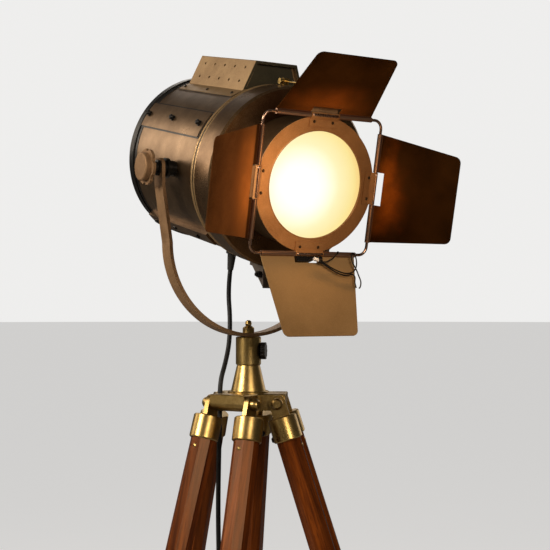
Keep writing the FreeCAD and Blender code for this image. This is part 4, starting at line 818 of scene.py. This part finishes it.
SLEEVE_PROFILE = ((0.0112, 0.0), (0.0112, 0.0022), (0.0104, 0.0028), (0.0084, 0.0030), (0.0084, 0.0090),
                  (0.0092, 0.0096), (0.0092, 0.0128), (0.0084, 0.0134), (0.0084, 0.0146))


def knob_sleeves():
    """Black sleeve round each tilt knob's shank, with a washer against the yoke."""
    for name, side in (("right", 1), ("left", -1)):
        mesh = bmesh.new()
        axis = Vector((side, 0, 0))
        way = (TILTED @ axis - TILTED @ Vector()).normalized()
        add_turned(mesh, TILTED @ (axis * KNOB_SEAT), way, SLEEVE_PROFILE, steps=32)
        finished_piece("knob_sleeve_" + name, mesh, "tilt_knob_" + name, "black_steel")


BOTTOM_LEAF_OPEN = 30.0
BOTTOM_LEAF_FACE = 3.5


def on_bottom_leaf(x, down, lift):
    """A point over the front of the bottom leaf: across, down from the wire, and off the sheet, in mm."""
    opened = math.radians(BOTTOM_LEAF_OPEN)
    lift += BOTTOM_LEAF_FACE
    return in_head(x, WIRE_AHEAD + down * math.sin(opened) + lift * math.cos(opened),
                   -WIRE_HALF - down * math.cos(opened) + lift * math.sin(opened))


def bottom_leaf_ways():
    """The bottom leaf's own directions: across, down from the wire, and off the sheet."""
    across, down = [(on_bottom_leaf(*step) - on_bottom_leaf(0, 0, 0)).normalized() for step in ((1, 0, 0), (0, 1, 0))]
    return across, down, across.cross(down)


def smooth_line(points, steps=6):
    """Points of a smooth line that passes through every given point."""
    line = []
    for index in range(len(points) - 1):
        before = points[max(index - 1, 0)]
        start, end = points[index], points[index + 1]
        after = points[min(index + 2, len(points) - 1)]
        for step in range(steps):
            share = step / steps
            first = (end - before) * 0.5
            last = (after - start) * 0.5
            line.append(start * (2 * share ** 3 - 3 * share ** 2 + 1) + first * (share ** 3 - 2 * share ** 2 + share)
                        + end * (3 * share ** 2 - 2 * share ** 3) + last * (share ** 3 - share ** 2))
    return line + [points[-1]]


# The tie's three lengths of wire, as points over the bottom leaf.
TIE_STRANDS = (
    ((69.0, 50.0, 1.0), (71.6, 47.4, 1.0), (73.6, 40.5, 1.2), (71.6, 32.0, 1.6), (68.0, 23.2, 3.4), (65.2, 13.8, 2.2),
     (64.6, 6.0, 2.4), (67.4, -0.6, 2.6), (72.0, 3.2, 1.6), (72.6, 12.8, 1.0), (69.4, 21.4, 0.8), (63.0, 26.8, 0.9),
     (54.4, 28.8, 1.0), (44.0, 27.4, 1.2), (31.8, 22.8, 1.8), (20.4, 16.6, 2.4), (13.6, 13.2, 2.4)),
    ((13.6, 13.2, 1.6), (23.0, 12.8, 2.4), (33.6, 7.8, 2.8), (41.0, 2.0, 2.2), (45.0, -1.4, 1.4), (46.0, -3.0, -1.5)),
    ((13.6, 13.2, 1.2), (25.6, 21.2, 1.0), (39.2, 29.0, 0.9), (51.6, 31.8, 0.9), (61.2, 30.0, 0.9), (65.4, 33.6, 0.9),
     (63.8, 41.8, 0.9), (64.4, 49.4, 0.9)),
)
TIE_WIRE_RADIUS = 0.00095
TIE_KNOT_PROFILE = ((0.0016, 0.0), (0.0024, 0.0006), (0.0026, 0.0030), (0.0023, 0.0056), (0.0012, 0.0066))
TIE_KNOT_PLACE = (9.6, 12.2, 2.4)
TIE_FERRULE_PLACE = (5.4, 10.4, 3.0)
TIE_FERRULE_HALVES = (0.0036, 0.0021, 0.0021)
TIE_FERRULE_BEVEL = 0.0004


def tie_wire():
    """Thin dark wire tied at the bottom strap, lying on the leaf, with its knot and bright ferrule."""
    for index, strand in enumerate(TIE_STRANDS):
        line = smooth_line([on_bottom_leaf(*point) for point in strand])
        piece = tube_along("tie_wire_%d" % (index + 1), line, TIE_WIRE_RADIUS, sides=10)
        piece.data.materials.append(finishes["black_steel"])
        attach(piece, "leaf_bottom")
    across, down, off = bottom_leaf_ways()
    way = (across + down * 0.25).normalized()
    mesh = bmesh.new()
    add_turned(mesh, on_bottom_leaf(*TIE_KNOT_PLACE), way, TIE_KNOT_PROFILE)
    finished_piece("tie_knot", mesh, "leaf_bottom", "black_steel")
    mesh = bmesh.new()
    add_block(mesh, on_bottom_leaf(*TIE_FERRULE_PLACE), (way, down, off), TIE_FERRULE_HALVES)
    bmesh.ops.bevel(mesh, geom=mesh.edges[:], offset=TIE_FERRULE_BEVEL, segments=2, affect="EDGES")
    finished_piece("tie_ferrule", mesh, "leaf_bottom", "bright_nickel")


# Middle (across, down) and half sizes of the two parts of the bottom strap's tail.
TAIL_PARTS = ((-9.9, 6.8, 10.6, 3.8), (10.5, 5.0, 10.0, 2.0))
TAIL_LIFT = -3.5
STRAP_HALF_SHEET = 0.0005


def strap_tail():
    """Tail of the bottom strap in the leaf's notch, cut back where the tie's ferrule lies; its dark finish is painted
    shade.
    """
    mesh = bmesh.new()
    for x, down, half_width, half_height in TAIL_PARTS:
        add_block(mesh, on_bottom_leaf(x, down, TAIL_LIFT), bottom_leaf_ways(),
                  (half_width / 1000, half_height / 1000, STRAP_HALF_SHEET))
    # Painted shade: the tail gets black steel, not the strap's copper.
    finished_piece("strap_tail", mesh, "head", "black_steel")


# How far the wire stands proud of its own line across half of a strap, from the strap's end to its middle.
PROUD_STEPS = ((21.8, 0.0), (20.6, 1.2), (18.8, 2.4), (14.0, 2.6))


def wire_over_straps():
    """The wire where it lies proud of each of the four straps."""
    rising = [(-along, proud) for along, proud in PROUD_STEPS]
    for side in SIDES:
        line = smooth_line([on_wire(side, along, proud)
                            for along, proud in (*rising, (0.0, PROUD_STEPS[-1][1]), *reversed(PROUD_STEPS))])
        piece = tube_along("wire_over_strap_" + side, line, WIRE_THICKNESS / 2000)
        piece.data.materials.append(finishes["copper_wire"])
        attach(piece, "head")


TAB_OUT = 99.2
TAB_BEHIND = 1.6
TAB_HALF_REACH = 0.0036
TAB_HALF_WIDTH = (STRAP_WIDTH - 3.0) / 2000


def strap_tabs():
    """Ends of the left and the top strap, standing out behind the wire in the leaves' notches."""
    mesh = bmesh.new()
    ways = head_ways()
    ahead = WIRE_AHEAD - TAB_BEHIND
    add_block(mesh, in_head(-TAB_OUT, ahead, 0), ways, (TAB_HALF_REACH, STRAP_HALF_SHEET, TAB_HALF_WIDTH))
    add_block(mesh, in_head(0, ahead, TAB_OUT), ways, (TAB_HALF_WIDTH, STRAP_HALF_SHEET, TAB_HALF_REACH))
    finished_piece("strap_tabs", mesh, "head", "bronze_bar")


def leg_point(azimuth, out, along, up):
    """A point of a leg, in metres from its hinge: outward, along the bolt, and up the leg."""
    splay = math.radians(LEG_SPLAY)
    away = heading(azimuth)
    bolt = Vector((-away.y, away.x, 0))
    lean = away * math.cos(splay) + Vector((0, 0, math.sin(splay)))
    rise = Vector((0, 0, math.cos(splay))) - away * math.sin(splay)
    return away * HINGE_REACH + Vector((0, 0, HINGE_HEIGHT)) + lean * out + bolt * along + rise * up


# Each kind's drop from the hinge, distance from the leg's middle plane, way that it faces, finish and outline.
LEG_SCREWS = {
    "stave_screws": (0.066, 0.0168, 1, "aged_brass",
                     ((0.0030, 0.0), (0.0030, 0.0004), (0.0022, 0.0010), (0.0, 0.0012))),
    "ferrule_screws": (0.048, -0.0205, -1, "black_steel",
                       ((0.0042, 0.0), (0.0042, 0.0014), (0.0032, 0.0018), (0.0032, 0.0028), (0.0, 0.0032))),
}


def leg_screws():
    """A brass screw in the outer face of each stave, and a dark one on each ferrule's inner side."""
    lean = math.tan(math.radians(STAVE_SPREAD))
    for leg, azimuth in LEG_AZIMUTHS.items():
        out = (leg_point(azimuth, 1, 0, 0) - leg_point(azimuth, 0, 0, 0)).normalized()
        for kind, (drop, depth, facing, finish, profile) in LEG_SCREWS.items():
            mesh = bmesh.new()
            for side in (-1, 1):
                middle = side * (STAVE_OFFSET + drop * lean)
                add_turned(mesh, leg_point(azimuth, depth, middle, -drop), out * facing, profile)
            finished_piece(kind + "_" + leg, mesh, "leg_" + leg, finish)


drum_screws()
plate_edges()
drum_bands()
vent_recess_shade()
vent_front_edge()
knob_sleeves()
wire_over_straps()
strap_tabs()
strap_tail()
tie_wire()
leg_screws()

# ---------------------------------------------------------------- floor and light
FLOOR_RADIUS = 80.0
FLOOR_GAP = 0.0005
FLOOR_LIFT = 0.60
WORLD_STRENGTH = 0.09


def add_floor():
    """Pale floor; what the camera sees of it is lifted towards white and keeps its shadows."""
    bpy.ops.object.select_all(action="DESELECT")
    bpy.ops.mesh.primitive_circle_add(vertices=96, radius=FLOOR_RADIUS, fill_type="NGON",
                                      location=(0, 0, -FLOOR_GAP))
    floor = bpy.context.object
    floor.name = "studio_floor"
    finish = Finish("studio_floor", 0.0, 0.85)
    finish.colour(finish.blended(finish.noise(finish.placed(), 3.0), (0.36, 0.355, 0.345), (0.39, 0.385, 0.375)))
    ray = finish.node("ShaderNodeLightPath")
    finish.shader.inputs["Emission Color"].default_value = (1.0, 0.99, 0.975, 1.0)
    finish.join(finish.combined(ray.outputs["Is Camera Ray"], FLOOR_LIFT, "MULTIPLY"),
                finish.shader.inputs["Emission Strength"])
    floor.data.materials.append(finish.material)


def add_lamp(name, place, aim, size, power, colour):
    """A round soft lamp that the camera doesn't see."""
    light = bpy.data.lights.new(name, "AREA")
    light.shape = "DISK"
    light.size = size
    light.energy = power
    light.color = colour
    lamp = bpy.data.objects.new(name, light)
    lamp.location = place
    lamp.rotation_euler = (Vector(aim) - Vector(place)).to_track_quat("-Z", "Y").to_euler()
    lamp.visible_camera = False
    bpy.context.scene.collection.objects.link(lamp)


def add_world():
    """Dim even light from all round, with a pale backdrop for the camera alone."""
    world = bpy.data.worlds.new("studio")
    bpy.context.scene.world = world
    world.use_nodes = True
    nodes = world.node_tree.nodes
    links = world.node_tree.links
    shade = nodes["Background"]
    shade.inputs["Color"].default_value = (0.86, 0.83, 0.80, 1.0)
    shade.inputs["Strength"].default_value = WORLD_STRENGTH
    backdrop = nodes.new("ShaderNodeBackground")
    backdrop.inputs["Color"].default_value = (0.86, 0.855, 0.845, 1.0)
    chosen = nodes.new("ShaderNodeMixShader")
    ray = nodes.new("ShaderNodeLightPath")
    links.new(ray.outputs["Is Camera Ray"], chosen.inputs["Fac"])
    links.new(shade.outputs["Background"], chosen.inputs[1])
    links.new(backdrop.outputs["Background"], chosen.inputs[2])
    links.new(chosen.outputs["Shader"], nodes["World Output"].inputs["Surface"])


add_floor()
add_world()
add_lamp("key_light", (-2.6, -0.2, 2.1), (0, 0, 1.2), 1.0, 70.0, (1.0, 0.93, 0.84))
add_lamp("window_light", (-1.7, 2.05, 2.35), (0, 0, 1.25), 1.6, 23.0, (1.0, 0.88, 0.74))
add_lamp("fill_light", (-0.5, -3.0, 1.9), (0, 0, 1.2), 1.2, 42.0, (1.0, 0.90, 0.78))
add_lamp("rim_light", (0.9, 2.3, 2.5), (0, 0, 1.3), 1.4, 11.0, (1.0, 0.92, 0.82))
add_lamp("side_light", (2.5, 0.9, 1.9), (0, 0, 1.2), 2.0, 14.0, (1.0, 0.92, 0.82))
add_lamp("lens_light", in_head(0, 192, 0), in_head(0, 400, 0), 0.12, 1.2, (1.0, 0.58, 0.25))
add_lamp("glow_light", in_head(-30, 330, 0), in_head(-20, 190, 0), 0.10, 0.10, (1.0, 0.60, 0.28))

bpy.context.view_layer.update()
